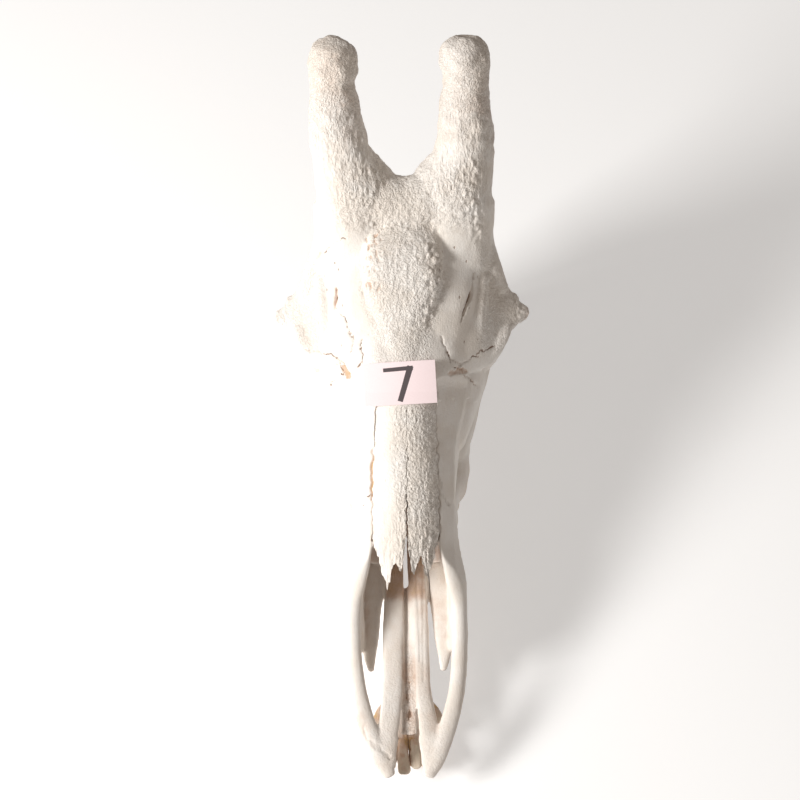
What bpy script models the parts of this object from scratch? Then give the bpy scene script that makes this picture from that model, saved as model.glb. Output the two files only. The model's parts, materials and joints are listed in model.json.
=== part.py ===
"""Giraffe skull with its lower jaw, life size, resting on the lower edge of the jaw.

Bones are modelled in the skull's own frame, in millimetres: x to the animal's left, s back from the
muzzle tip along the biting plane of the cheek teeth, h up from that plane. The top of the face is
placed in a second frame, u along the line from muzzle to forehead and v out from that line.
"""

import math

import bmesh
import bpy
import numpy as np
from mathutils import Matrix, Vector

for old in list(bpy.data.objects):
    bpy.data.objects.remove(old)

MM = 0.001
SEAM = 0.3  # gap that touching bones keep
FACE_ANGLE = math.radians(25.0)  # face line above the biting plane
ANGLE_LOW = (505.0, -110.5)  # (s, h) of the jaw's lowest point, near its angle
CHIN_LOW = (108.0, -55.0)  # (s, h) where the front of the jaw touches down
SOLE_DEPTH = 2.0  # how far the jaw's two resting points are worn flat
REST_TILT = math.atan2(CHIN_LOW[1] - ANGLE_LOW[1], ANGLE_LOW[0] - CHIN_LOW[0])
ALONG_FACE = (0.0, math.cos(FACE_ANGLE), math.sin(FACE_ANGLE))
OUT_OF_FACE = (0.0, -math.sin(FACE_ANGLE), math.cos(FACE_ANGLE))
UP = (0.0, 0.0, 1.0)
BACK = (0.0, 1.0, 0.0)


def face(x, u, v):
    """A point given along and out from the face line, as (x, s, h)."""
    s = u * math.cos(FACE_ANGLE) - v * math.sin(FACE_ANGLE)
    h = u * math.sin(FACE_ANGLE) + v * math.cos(FACE_ANGLE)
    return (x, s, h)


def on_face(rows):
    """Rows that start with x, u, v, as rows that start with x, s, h."""
    return [(*face(*row[:3]), *row[3:]) for row in rows]


def through(rows, steps, closed=False):
    """A cubic through every row, with the given number of new rows for each span."""
    rows = np.array(rows, float)
    if closed:
        rows = np.concatenate([rows[-2:], rows, rows[:3]])
    near = rows[:, :3] if rows.shape[1] > 2 else rows
    spans = np.linalg.norm(np.diff(near, axis=0), axis=1)
    at = np.concatenate([[0.0], np.cumsum(spans)])
    slopes = np.gradient(rows, at, axis=0)
    t = (np.arange(steps) / steps)[None, :, None]
    start, end = rows[:-1, None], rows[1:, None]
    lead = slopes[:-1, None] * spans[:, None, None]
    trail = slopes[1:, None] * spans[:, None, None]
    curve = (
        (2 * t**3 - 3 * t**2 + 1) * start
        + (t**3 - 2 * t**2 + t) * lead
        + (3 * t**2 - 2 * t**3) * end
        + (t**3 - t**2) * trail
    )
    if closed:
        return curve[2:-2].reshape(-1, rows.shape[1])
    return np.concatenate([curve.reshape(-1, rows.shape[1]), rows[-1:]])


def unit(vectors):
    return vectors / np.linalg.norm(vectors, axis=-1, keepdims=True)


def solid(name, points, faces):
    """A mesh object from points in millimetres, with its faces turned outwards."""
    built = bmesh.new()
    corners = [built.verts.new(Vector(p) * MM) for p in np.asarray(points).tolist()]
    for face_corners in faces:
        built.faces.new([corners[i] for i in face_corners])
    bmesh.ops.triangulate(built, faces=built.faces[:])
    if built.calc_volume(signed=True) < 0:
        bmesh.ops.reverse_faces(built, faces=built.faces[:])
    mesh = bpy.data.meshes.new(name)
    built.to_mesh(mesh)
    built.free()
    made = bpy.data.objects.new(name, mesh)
    bpy.context.scene.collection.objects.link(made)
    return made


def tube(rows, up=UP, sides=20, steps=4, dome=0.7):
    """A body along rows of centre x, s, h, half width, half height and squareness, with domed ends.

    A seventh number in a row rolls the profile about the path, in degrees.
    """
    rows = [(*row, *(2.0, 0.0)[len(row) - 5 :]) for row in rows]
    line = through(rows, steps)
    along = unit(np.gradient(line[:, :3], axis=0))
    level = unit(np.cross(along, up))
    roll = np.radians(line[:, 6:7])
    side = level * np.cos(roll) + np.cross(level, along) * np.sin(roll)
    top = np.cross(side, along)
    turn = 2 * math.pi * np.arange(sides) / sides
    wide, high = np.cos(turn), np.sin(turn)
    rings = []
    ends = (28, 55, 80) if dome else ()
    order = [(0, -1, e) for e in ends[::-1]]
    order += [(i, 0, 0) for i in range(len(line))]
    order += [(len(line) - 1, 1, e) for e in ends]
    for i, end, lean in order:
        width, height, power = line[i, 3:6]
        shrink = math.cos(math.radians(lean))
        reach = end * dome * min(width, height) * math.sin(math.radians(lean))
        x = np.sign(wide) * abs(wide) ** (2 / power) * width * shrink
        z = np.sign(high) * abs(high) ** (2 / power) * height * shrink
        rings.append(line[i, :3] + along[i] * reach + x[:, None] * side[i] + z[:, None] * top[i])
    faces = []
    for r in range(len(rings) - 1):
        for k in range(sides):
            n = (k + 1) % sides
            faces.append((r * sides + k, r * sides + n, (r + 1) * sides + n, (r + 1) * sides + k))
    faces.append(list(range(sides))[::-1])
    faces.append([(len(rings) - 1) * sides + k for k in range(sides)])
    return solid("form", np.concatenate(rings), faces)


def ball(x, s, h, wide, deep, high, axis=None):
    """An egg of the given half sizes. Axis, if given, is where its wide direction points."""
    built = bmesh.new()
    bmesh.ops.create_icosphere(built, subdivisions=3, radius=1.0)
    size = Matrix.Diagonal((wide * MM, deep * MM, high * MM)).to_3x3()
    if axis is not None:
        size = Vector((1, 0, 0)).rotation_difference(Vector(axis)).to_matrix() @ size
    move = Matrix.Translation(Vector((x, s, h)) * MM) @ size.to_4x4()
    bmesh.ops.transform(built, matrix=move, verts=built.verts[:])
    mesh = bpy.data.meshes.new("form")
    built.to_mesh(mesh)
    built.free()
    made = bpy.data.objects.new("form", mesh)
    bpy.context.scene.collection.objects.link(made)
    return made


def hoop(centre, axis, radius, radial, axial, sides=12, around=40):
    """A ring of bone round an opening that faces along axis."""
    axis = unit(np.array(axis, float))
    first = unit(np.cross(axis, UP))
    second = np.cross(axis, first)
    points, faces = [], []
    for i in range(around):
        a = 2 * math.pi * i / around
        out = first * math.cos(a) + second * math.sin(a)
        for k in range(sides):
            b = 2 * math.pi * k / sides
            points.append(
                np.array(centre) + out * (radius + radial * math.cos(b)) + axis * axial * math.sin(b)
            )
            j, n = (i + 1) % around, (k + 1) % sides
            faces.append((i * sides + k, i * sides + n, j * sides + n, j * sides + k))
    return solid("form", points, faces)


def blade(outline, place, normal, thick, steps=3):
    """A flat bone: a closed outline, smoothed, put in place by a function and given its thickness."""
    edge = through(outline, steps, closed=True)
    middle = np.array([place(p, q) for p, q in edge])
    shift = unit(np.array(normal, float)) * thick / 2
    count = len(middle)
    points = np.concatenate([middle - shift, middle + shift])
    faces = [(k, (k + 1) % count, count + (k + 1) % count, count + k) for k in range(count)]
    faces += [list(range(count))[::-1], [count + k for k in range(count)]]
    return solid("form", points, faces)


def mirrored(form):
    """The form's twin on the animal's other side."""
    built = bmesh.new()
    built.from_mesh(form.data)
    bmesh.ops.scale(built, vec=(-1, 1, 1), verts=built.verts[:])
    bmesh.ops.reverse_faces(built, faces=built.faces[:])
    mesh = bpy.data.meshes.new("form")
    built.to_mesh(mesh)
    built.free()
    made = bpy.data.objects.new("form", mesh)
    bpy.context.scene.collection.objects.link(made)
    return made


def both(forms):
    return [*forms, *[mirrored(f) for f in forms]]


def settle(obj, merge=0.001):
    """Applies the object's modifiers and keeps its largest closed surface."""
    graph = bpy.context.evaluated_depsgraph_get()
    mesh = bpy.data.meshes.new_from_object(obj.evaluated_get(graph))
    obj.modifiers.clear()
    obj.data = mesh
    built = bmesh.new()
    built.from_mesh(mesh)
    bmesh.ops.remove_doubles(built, verts=built.verts[:], dist=merge * MM)
    unseen, largest = set(built.verts), []
    while unseen:
        stack, found = [unseen.pop()], []
        while stack:
            vert = stack.pop()
            found.append(vert)
            for edge in vert.link_edges:
                other = edge.other_vert(vert)
                if other in unseen:
                    unseen.discard(other)
                    stack.append(other)
        if len(found) > len(largest):
            largest = found
    keep = set(largest)
    bmesh.ops.delete(built, geom=[v for v in built.verts if v not in keep], context="VERTS")
    bmesh.ops.triangulate(built, faces=built.faces[:])
    built.to_mesh(mesh)
    built.free()
    return obj


def gather(forms):
    """A collection that holds the forms and nothing else."""
    group = bpy.data.collections.new("forms")
    bpy.context.scene.collection.children.link(group)
    for form in forms:
        bpy.context.scene.collection.objects.unlink(form)
        group.objects.link(form)
    return group


def boolean(base, group, how):
    step = base.modifiers.new(how, "BOOLEAN")
    step.operation = how
    step.operand_type = "COLLECTION"
    step.collection = group
    step.solver = "MANIFOLD"


def discard(group):
    for form in list(group.objects):
        bpy.data.objects.remove(form)
    bpy.data.collections.remove(group)


def combine(base, others, how):
    """One Boolean of base with other forms, applied, with the forms then removed."""
    group = gather(others)
    boolean(base, group, how)
    settle(base)
    discard(group)
    return base


def fuse(name, forms, grain, rounds=4, hollows=()):
    """Joins forms into one bone: a union less its hollows, remeshed and smoothed so that it flows."""
    bone = forms[0]
    bone.name = name
    groups = []
    for others, how in ((forms[1:], "UNION"), (hollows, "DIFFERENCE")):
        if others:
            groups.append(gather(others))
            boolean(bone, groups[-1], how)
    skin = bone.modifiers.new("skin", "REMESH")
    skin.mode = "VOXEL"
    skin.voxel_size = grain * MM
    soften = bone.modifiers.new("soften", "SMOOTH")
    soften.factor = 0.5
    soften.iterations = rounds
    settle(bone)
    for group in groups:
        discard(group)
    return bone


def thin(bone, triangles):
    """Brings a bone down to about the given number of triangles."""
    step = bone.modifiers.new("thin", "DECIMATE")
    step.ratio = min(1.0, triangles / len(bone.data.polygons))
    return settle(bone)


def twin(bone, name):
    """A second object with the bone's shape."""
    copy = bpy.data.objects.new(name, bone.data.copy())
    bpy.context.scene.collection.objects.link(copy)
    return copy


def swollen(form):
    """Swells a form by the seam, to cut its neighbour clear of it."""
    swell = form.modifiers.new("swell", "DISPLACE")
    swell.strength = SEAM * MM
    swell.mid_level = 0.0
    return settle(form)


def grown(bone):
    return swollen(twin(bone, "form"))


def slab(point, normal, side, size=900.0):
    """A large block that starts at a plane and lies on the side that normal points to, for cutting."""
    n = unit(np.array(normal, float))
    a = unit(np.cross(n, side))
    b = np.cross(n, a)
    corners = [
        np.array(point) + a * size * i + b * size * j + n * size * 2 * k
        for k in (0, 1)
        for i, j in ((-1, -1), (1, -1), (1, 1), (-1, 1))
    ]
    faces = [(0, 1, 2, 3), (4, 5, 6, 7), (0, 1, 5, 4), (1, 2, 6, 5), (2, 3, 7, 6), (3, 0, 4, 7)]
    made = solid("form", corners, faces)
    built = bmesh.new()
    built.from_mesh(made.data)
    bmesh.ops.recalc_face_normals(built, faces=built.faces[:])
    built.to_mesh(made.data)
    built.free()
    return made


def piece(bone, name, cutters):
    """A copy of a bone with everything inside the cutters taken away."""
    return combine(twin(bone, name), cutters, "DIFFERENCE")


def skull_forms():
    """The upper skull apart from the loose face bones, as overlapping forms."""
    braincase = tube(
        [
            (0, 430, 112, 48, 60, 2.4),
            (0, 480, 132, 54, 70, 2.4),
            (0, 530, 140, 57, 76, 2.4),
            (0, 570, 140, 60, 74, 2.4),
            (0, 598, 136, 62, 62, 2.4),
        ],
        dome=0.15,
    )
    roof = tube(
        on_face(
            [
                (0, 385, -29, 44, 28, 2.2),
                (0, 430, -34, 62, 36, 2.2),
                (0, 470, -35, 74, 38, 2.2),
                (0, 520, -36, 82, 40, 2.3),
                (0, 570, -40, 86, 42, 2.4),
                (0, 608, -48, 80, 40, 2.4),
            ]
        ),
        up=OUT_OF_FACE,
        dome=0.65,
    )
    ridge = tube(
        on_face([(0, 410, -7, 21, 14), (0, 440, -6, 24, 15), (0, 485, -6, 32, 16)]),
        up=OUT_OF_FACE,
    )
    saddle = tube(
        on_face(
            [
                (-46, 616, -22, 32, 34, 2.3),
                (-22, 606, -20, 33, 34, 2.3),
                (0, 602, -20, 33, 33, 2.3),
                (22, 606, -20, 33, 34, 2.3),
                (46, 616, -22, 32, 34, 2.3),
            ]
        ),
        up=OUT_OF_FACE,
    )
    muzzle = tube(
        [
            (0, 226, 60, 47, 44, 2.3),
            (0, 260, 69, 52, 53, 2.3),
            (0, 300, 80, 55, 62, 2.3),
            (0, 340, 91, 61, 70, 2.3),
            (0, 380, 102, 70, 77, 2.3),
            (0, 420, 114, 76, 82, 2.3),
            (0, 455, 126, 76, 84, 2.3),
        ],
        dome=0.2,
    )
    occiput = tube(
        [(0, 580, 136, 56, 58, 2.4), (0, 596, 134, 64, 60, 2.2), (0, 604, 132, 60, 56, 2.2)],
        dome=0.1,
    )
    base = tube([(0, 500, 78, 22, 12), (0, 560, 74, 25, 13), (0, 618, 72, 20, 13)])
    neck = ball(0, 604, 100, 42, 15, 34)
    crest = ball(0, 607, 176, 12, 9, 24)
    sides = [
        # frontal shelf over the orbit, out to its lateral point
        tube(
            [
                (*face(50, 491, -40), 70, 26, 2.5),
                (*face(70, 491, -48), 66, 20, 2.5),
                (*face(85, 491, -54), 61, 15, 2.4),
                (*face(95, 491, -58), 56, 12, 2.4),
                (*face(104, 491, -61), 45, 10, 2.3),
                (*face(113, 491, -64), 30, 9, 2.2),
                (*face(124, 491, -67), 14, 8, 2.0),
                (*face(134, 491, -69), 7, 6, 2.0),
            ],
            up=OUT_OF_FACE,
            dome=0.5,
        ),
        # lacrimal and cheek in front of the orbit
        tube(
            [(44, 350, 96, 24, 34), (56, 385, 104, 24, 36), (68, 415, 112, 22, 38), (74, 430, 118, 16, 38)]
        ),
        # rim of the orbit and the bone that carries it
        hoop(ORBIT, ORBIT_AXIS, ORBIT_RADIUS + 3, 5, 6),
        ball(*(np.array(ORBIT) - unit(np.array(ORBIT_AXIS)) * 24), 29, 40, 40, ORBIT_AXIS),
        # zygomatic arch, from the cheek to the ear region
        tube(
            [
                (52, 345, 56, 15, 18),
                (62, 376, 61, 17, 21),
                (75, 408, 66, 11.5, 20),
                (86, 438, 70, 9, 17),
                (93, 468, 77, 7, 13),
                (96, 500, 88, 6, 11),
                (92, 535, 99, 6, 10),
                (79, 560, 106, 10, 10),
                (62, 574, 110, 12, 12),
            ]
        ),
        # bar behind the eye
        tube(
            [(119, 483, 154, 8, 10), (110, 493, 130, 6, 9), (102, 498, 106, 6, 9), (96, 500, 88, 6, 11)],
            up=BACK,
        ),
        # ossicone
        tube(
            on_face(
                [
                    (48, 545, -40, 46.5, 34),
                    (49, 590, -28, 47, 38),
                    (50.5, 618, -17, 46, 37),
                    (58, 638, -10, 37.5, 34),
                    (62.5, 650, -6, 33, 31.5),
                    (66.6, 671, 1, 30, 28.5),
                    (68, 692, 8, 28, 26.5),
                    (69.2, 713, 15, 25.2, 25),
                    (69.8, 732, 21, 23.6, 24.5),
                    (68.8, 745, 26, 26, 26),
                    (68, 756, 28.5, 25.5, 25.5),
                ]
            ),
            up=OUT_OF_FACE,
            dome=0.78,
        ),
        # tooth-bearing edge of the maxilla
        tube(
            [
                (39, 240, 32, 9, 17),
                (44, 262, 34, 11, 20),
                (46.5, 290, 37, 11.5, 23),
                (49, 304, 38, 12, 24),
                (54, 318, 38, 15, 24),
                (55, 334, 39, 16, 25),
                (56, 370, 42, 17, 28),
                (56, 405, 42, 16, 26),
                (52, 424, 44, 11, 22),
            ]
        ),
        # side wall of the nose, up to the premaxilla
        tube(
            [
                (48, 122, 19, 5, 6),
                (51, 148, 25, 6, 12),
                (52, 190, 37, 6.5, 25),
                (50.5, 221, 51, 7, 38),
                (48, 240, 58, 8, 44),
                (46, 262, 65, 9, 48),
                (43, 292, 76, 10, 50),
            ]
        ),
        # shoulder of the maxilla along the nasal
        tube(
            on_face(
                [
                    (43, 290, -12.5, 11, 7.5, 2.3, -41),
                    (43.3, 312, -12, 13, 9, 2.3, -40),
                    (44, 340, -12, 14, 9.5, 2.3, -38),
                    (46, 385, -13.5, 14.5, 9, 2.3, -36),
                ]
            ),
            up=OUT_OF_FACE,
        ),
        # floor of the nose
        tube(
            [
                (38.5, 115, 14, 4, 3.5),
                (40, 134, 15, 8, 4.2),
                (38.5, 150, 16, 9, 4.5),
                (37, 190, 18, 12, 5.5),
                (28, 235, 22, 18, 8),
            ]
        ),
        # crest across the back of the head
        tube(
            [
                (0, 604, 194, 8, 8),
                (24, 604, 191, 8, 8),
                (46, 600, 176, 8, 8),
                (60, 594, 150, 7, 8),
                (68, 586, 118, 6, 8),
            ]
        ),
        # condyle, ear region and processes under the skull
        ball(24, 622, 86, 15, 21, 20),
        ball(34, 558, 64, 11, 20, 15),
        tube([(48, 566, 94, 12, 12), (66, 572, 98, 9, 9), (74, 573, 100, 8, 8)], up=UP),
        ball(70, 560, 101, 21, 23, 11),
        tube(
            [(50, 598, 88, 16, 9), (53, 597, 55, 11, 7), (51, 595, 30, 7, 5.5), (49, 593, 14, 4, 4)],
            up=BACK,
        ),
        # pterygoid plate beside the inner nostrils
        blade(
            [
                (412, 22),
                (440, 26),
                (465, 20),
                (482, 30),
                (500, 62),
                (505, 84),
                (470, 90),
                (430, 84),
                (405, 70),
            ],
            lambda s, h: (24 + (h - 20) * 0.06, s, h),
            (1, 0, 0),
            7,
        ),
    ]
    return [muzzle, braincase, roof, ridge, saddle, occiput, base, neck, crest, *both(sides)]


ORBIT = (98.0, 456.0, 119.0)  # centre of the eye opening
ORBIT_AXIS = (0.885, -0.241, -0.398)  # where the eye looks
ORBIT_RADIUS = 32.0


def skull_hollows():
    """What is open in the upper skull: nose, orbits, inner nostrils, spinal hole and slit of the palate."""
    nose = tube(
        [
            (0, 190, 62, 42, 36, 2.4),
            (0, 235, 72, 39, 42, 2.4),
            (0, 275, 84, 34, 44, 2.4),
            (0, 315, 98, 25, 36, 2.2),
            (0, 340, 106, 14, 20),
        ],
        up=UP,
    )
    inner_nostrils = tube(
        [(0, 400, 30, 12, 8), (0, 440, 42, 19, 20), (0, 480, 40, 21, 26), (0, 520, 30, 22, 28)]
    )
    spinal = ball(0, 624, 106, 15, 36, 15)
    palate = tube([(0, 215, 8, 20, 10), (0, 260, 12, 27, 11), (0, 330, 14, 33, 12), (0, 415, 14, 35, 12)])
    slit = tube([(0, 180, 20, 4.5, 30), (0, 240, 24, 4, 30), (0, 262, 26, 2, 30)])
    eye = np.array(ORBIT) + unit(np.array(ORBIT_AXIS)) * 4
    sides = [
        ball(*eye, 52, ORBIT_RADIUS, ORBIT_RADIUS, ORBIT_AXIS),
        # pit for the jaw muscles behind the eye
        ball(78, 530, 132, 20, 30, 33),
    ]
    return [nose, inner_nostrils, spinal, palate, slit, *both(sides)]


def boss_forms():
    """The median ossicone: a swelling in the middle of the forehead."""
    return [
        tube(
            on_face(
                [
                    (0, 472, -12, 28, 20),
                    (0, 494, -6, 35, 27),
                    (0, 520, -2, 39.5, 32),
                    (0, 550, -2, 40, 32),
                    (0, 573, -12, 36, 26),
                ]
            ),
            up=OUT_OF_FACE,
        )
    ]


def premaxilla_forms():
    """One premaxilla: the rail beside the nose, the bar beside the palate slit and the plate at the tip."""
    rail = tube(
        on_face(
            [
                (20.5, 5, 1, 7.5, 5, 2.0, 0),
                (29.5, 23, 1, 10, 5.5, 2.0, 0),
                (37.5, 42, -1, 10, 6, 2.0, 0),
                (44.5, 62, -5, 9.5, 6, 2.0, 0),
                (50, 83, -11, 9, 6.5, 2.0, 0),
                (53.5, 104, -17, 8.5, 7, 2.0, -5),
                (55.5, 125, -21, 8.5, 7, 2.0, -10),
                (56.5, 150, -23, 8.5, 8, 2.0, -15),
                (55.5, 188, -22, 10, 8, 2.0, -25),
                (52.5, 212, -18, 13.5, 7.5, 2.2, -33),
                (49.5, 235, -16, 17, 7, 2.4, -39),
                (47, 258, -13.5, 15.5, 6.5, 2.4, -41),
                (44.5, 276, -11, 11, 6, 2.3, -41),
                (42.5, 292, -9, 6, 5.5, 2.2, -41),
            ]
        ),
        up=OUT_OF_FACE,
    )
    plate = tube(
        on_face([(23, 14, 1, 10, 4.5), (26, 28, 0, 14, 5), (26, 44, -2, 16, 5)]), up=OUT_OF_FACE, dome=0.9
    )
    bar = tube(
        [
            (21, 46, 14, 10, 5, 2.4),
            (18.5, 64, 16, 10, 4.5, 2.8),
            (16, 94, 18, 9.5, 4.5, 2.8),
            (15.3, 135, 20, 9.8, 5, 2.8),
            (14.2, 165, 22, 10.2, 5, 2.8),
            (12.8, 198, 25, 10.2, 5.5, 2.6),
            (11.5, 235, 29, 9.5, 5.5, 2.6),
            (11, 258, 32, 9, 5, 2.4),
        ]
    )
    # thin inner edge of the bar, which meets its twin at the midline
    flange = tube(
        [(4.5, 50, 11, 5, 2.6), (4, 90, 13.5, 4.5, 2.8), (4, 140, 16, 4.5, 3), (5, 204, 21.5, 5, 3)]
    )
    return [rail, plate, bar, flange]


NASAL_HALF = 35.0
NASAL_BACK = 436.0
NASAL_FRONT = [
    (0.4, 234),
    (4, 222),
    (7, 209),
    (10, 214),
    (13, 222),
    (16, 212),
    (20, 198),
    (24, 210),
    (27, 222),
    (31, 237),
    (35, 254),
]


def nasal_top(x, u):
    """How far the top of the nasals stands out from the face line."""
    ridge = 11.0 - 9.0 * math.exp(-max(u - 190.0, 0.0) / 28.0)
    return ridge - 13.0 * (abs(x) / NASAL_HALF) ** 2.2


def nasal(name, sign, room=0.0):
    """One nasal bone: a long shell with a pointed front. Room is kept free above it, for a cutter."""
    edge = [(x, u) for x, u in NASAL_FRONT]
    steps = 10
    points, faces = [], []
    for x, front in edge:
        back = NASAL_BACK - 0.35 * x
        for i in range(steps + 1):
            u = front + (back - front) * (i / steps) ** 1.3
            points.append(face(sign * x, u, nasal_top(x, u) + room))
        for i in range(steps, -1, -1):
            u = front + (back - front) * (i / steps) ** 1.3
            full = 9.0 - 3.0 * x / NASAL_HALF
            thick = full * min(1.0, 0.25 + (u - front) / 22.0)
            points.append(face(sign * x, u, nasal_top(x, u) - thick))
    ring = 2 * (steps + 1)
    for j in range(len(edge) - 1):
        for k in range(ring):
            n = (k + 1) % ring
            faces.append((j * ring + k, j * ring + n, (j + 1) * ring + n, (j + 1) * ring + k))
    faces.append(list(range(ring)))
    faces.append([(len(edge) - 1) * ring + k for k in range(ring)][::-1])
    made = solid(name, points, faces)
    built = bmesh.new()
    built.from_mesh(made.data)
    bmesh.ops.recalc_face_normals(built, faces=built.faces[:])
    built.to_mesh(made.data)
    built.free()
    return made


def jaw_forms():
    """One half of the lower jaw, without its teeth."""
    body = tube(
        [
            (14, 42, -22, 18, 6),
            (12, 70, -28, 14, 9),
            (11, 108, -39.5, 12.5, 16.5),
            (11, 140, -39, 12, 15.5),
            (11.5, 175, -39, 11.5, 17),
            (13, 206, -39, 9.5, 19),
            (22.5, 229, -40, 10, 22),
            (34, 252, -41, 10.5, 26),
            (42, 290, -45, 11, 30),
            (46, 330, -49, 12, 34),
            (50, 370, -52, 12, 36),
            (55, 408, -56, 11, 37),
            (60, 445, -57, 7, 42),
        ]
    )
    ramus = blade(
        [
            (412, -22),
            (440, 2),
            (462, 42),
            (484, 82),
            (502, 118),
            (514, 136),
            (524, 138),
            (530, 122),
            (534, 98),
            (546, 80),
            (560, 84),
            (574, 80),
            (577, 55),
            (573, 18),
            (580, -22),
            (579, -55),
            (567, -88),
            (546, -105),
            (515, -111),
            (475, -106),
            (440, -100),
            (412, -94),
            (400, -60),
        ],
        lambda s, h: (64 + 0.05 * h, s, h),
        (1, 0, 0),
        10,
    )
    # shelf on the inner side, where the two halves meet behind the front teeth
    symphysis = tube(
        [
            (5, 110, -34, 9, 9),
            (6, 150, -33, 9, 8),
            (7, 180, -33, 9, 8),
            (8, 206, -33, 9, 8),
            (10, 222, -34, 8, 7),
        ]
    )
    condyle = tube([(54, 562, 84, 8, 6), (70, 562, 86, 9, 7), (84, 562, 85, 8, 6)])
    angle = ball(60, 535, -85, 7, 30, 20)
    return [body, ramus, symphysis, condyle, angle]


# Cheek teeth as number of lobes, front, length, distance from the midline and half width
UPPER_TEETH = (
    (1, 250, 22, 40.0, 9.5),
    (1, 273, 23, 44.0, 11.0),
    (1, 297, 22, 47.5, 12.0),
    (2, 320, 28, 50.5, 13.0),
    (2, 349, 30, 53.0, 13.5),
    (2, 380, 29, 54.0, 12.5),
)
LOWER_TEETH = (
    (1, 245, 17, 35.0, 6.0),
    (1, 263, 22, 39.0, 7.5),
    (1, 286, 23, 42.0, 8.5),
    (2, 310, 28, 45.0, 9.5),
    (2, 339, 30, 48.0, 10.0),
    (3, 370, 38, 51.0, 9.5),
)
TOOTH_ROOT = 24.0  # how far cheek teeth reach into the jaw, from the biting plane


def cheek_teeth(teeth, side):
    """A row of cheek teeth, made of lobes. Side is 1 above the biting plane and -1 below it."""
    forms = []
    root, bite = side * TOOTH_ROOT, side * SEAM / 2
    for lobes, front, length, x, half in teeth:
        deep = length / lobes * 0.56
        for i in range(lobes):
            s = front + length * (i + 0.5) / lobes
            rows = [
                (x, s, root, half * 0.8, deep * 0.8, 2.6),
                (x, s, (root + bite) / 2, half, deep * 0.94, 2.8),
                (x, s, bite, half * 0.93, deep * 0.96, 2.8),
            ]
            forms.append(tube(rows, up=BACK, sides=8, steps=1, dome=0))
    return forms


# Front teeth as root, neck, tip and half width of the crown
INCISORS = (
    ((7.4, 44, -17), (7.2, 24, -12), (7.3, 7, -7.5), 6.7),
    ((16.0, 46, -18), (18.0, 28, -13), (19.5, 13, -8.5), 6.2),
    ((24.0, 50, -19), (27.0, 36, -14), (29.5, 24, -9.5), 5.6),
    ((21.0, 90, -26), (30.0, 74, -17), (35.5, 58, -10.5), 6.0),
)


def incisor(root, neck, tip, half):
    """A front tooth that widens from its root to a flat crown."""
    wide = Vector(neck) * 0.4 + Vector(tip) * 0.6
    rows = [(*root, 4.4, 4.4), (*neck, 5.4, 3.8), (*wide, half, 3.6), (*tip, half, 1.8)]
    return tube(rows, sides=8, steps=1, dome=0)


LABEL_MIDDLE = (-3.5, 415.5)  # x and u
LABEL_SIZE = (76.0, 45.0)
LABEL_TURN = math.radians(2.5)
LABEL_THICK = 0.8


def label_top(x, u):
    """How far the label's underside stands out: it bends over the nasals, and its front edge curls up."""
    bend = 7.0 * (x / NASAL_HALF) ** 2
    curl = 1.5 * max(0.0, (406.0 - u) / 15.0)
    return nasal_top(0.0, u) + 1.2 * SEAM - bend + curl


def paper_label(thick=LABEL_THICK):
    """The slip of paper that lies across the nasals: its two faces and their rim."""
    across, rows = 12, 3
    points = []
    for lift in (0.0, thick):
        for j in range(rows + 1):
            for i in range(across + 1):
                p = LABEL_SIZE[0] * (i / across - 0.5)
                q = LABEL_SIZE[1] * (j / rows - 0.5)
                x = LABEL_MIDDLE[0] + p * math.cos(LABEL_TURN) - q * math.sin(LABEL_TURN)
                u = LABEL_MIDDLE[1] + p * math.sin(LABEL_TURN) + q * math.cos(LABEL_TURN)
                points.append(face(x, u, label_top(x, u) + lift))
    layer = (rows + 1) * (across + 1)
    faces = []
    for j in range(rows):
        for i in range(across):
            a = j * (across + 1) + i
            b, c, d = a + 1, a + across + 2, a + across + 1
            faces += [(a, d, c, b), (layer + a, layer + b, layer + c, layer + d)]
    rim = list(range(across + 1))
    rim += [j * (across + 1) + across for j in range(1, rows + 1)]
    rim += [rows * (across + 1) + i for i in range(across - 1, -1, -1)]
    rim += [j * (across + 1) for j in range(rows - 1, 0, -1)]
    for a, b in zip(rim, rim[1:] + rim[:1]):
        faces.append((a, b, layer + b, layer + a))
    return solid("paper_label", points, faces)


SWAY = 4.5  # how far the crown of the head leans to the animal's left
SWAY_MIDDLE, SWAY_REACH = 615.0, 75.0  # where along the face it does, and over what length


def lean(bone):
    """Moves a bone sideways by the sway of the crown, as grown bones are never quite even."""
    for vert in bone.data.vertices:
        along = (vert.co.y * ALONG_FACE[1] + vert.co.z * ALONG_FACE[2]) / MM
        vert.co.x += SWAY * MM * math.exp(-(((along - SWAY_MIDDLE) / SWAY_REACH) ** 2))


def paint(bones, name, colour, roughness):
    """Gives each object a plain material of its own kind."""
    for bone in bones:
        material = bpy.data.materials.new(name)
        material.use_nodes = True
        surface = material.node_tree.nodes["Principled BSDF"]
        surface.inputs["Base Color"].default_value = (*colour, 1.0)
        surface.inputs["Roughness"].default_value = roughness
        material.diffuse_color = (*colour, 1.0)
        bone.data.materials.clear()
        bone.data.materials.append(material)


# Upper skull, before it is parted into bones
SUTURE_TOP = (0, 362, 169)  # the seam between maxilla and cranium, at the face
SUTURE_FOOT = (0, 430, 15)  # and behind the last tooth
SUTURE_NORMAL = (0, SUTURE_TOP[2] - SUTURE_FOOT[2], SUTURE_FOOT[1] - SUTURE_TOP[1])
OSSICONE_FOOT = 640.0  # u of the seam under each ossicone
CLEAR_ABOVE = 8.0  # no skull bone lies this close above the nasals and the label
skull = thin(fuse("skull", skull_forms(), 3.0, 3, skull_hollows()), 4400)

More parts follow.
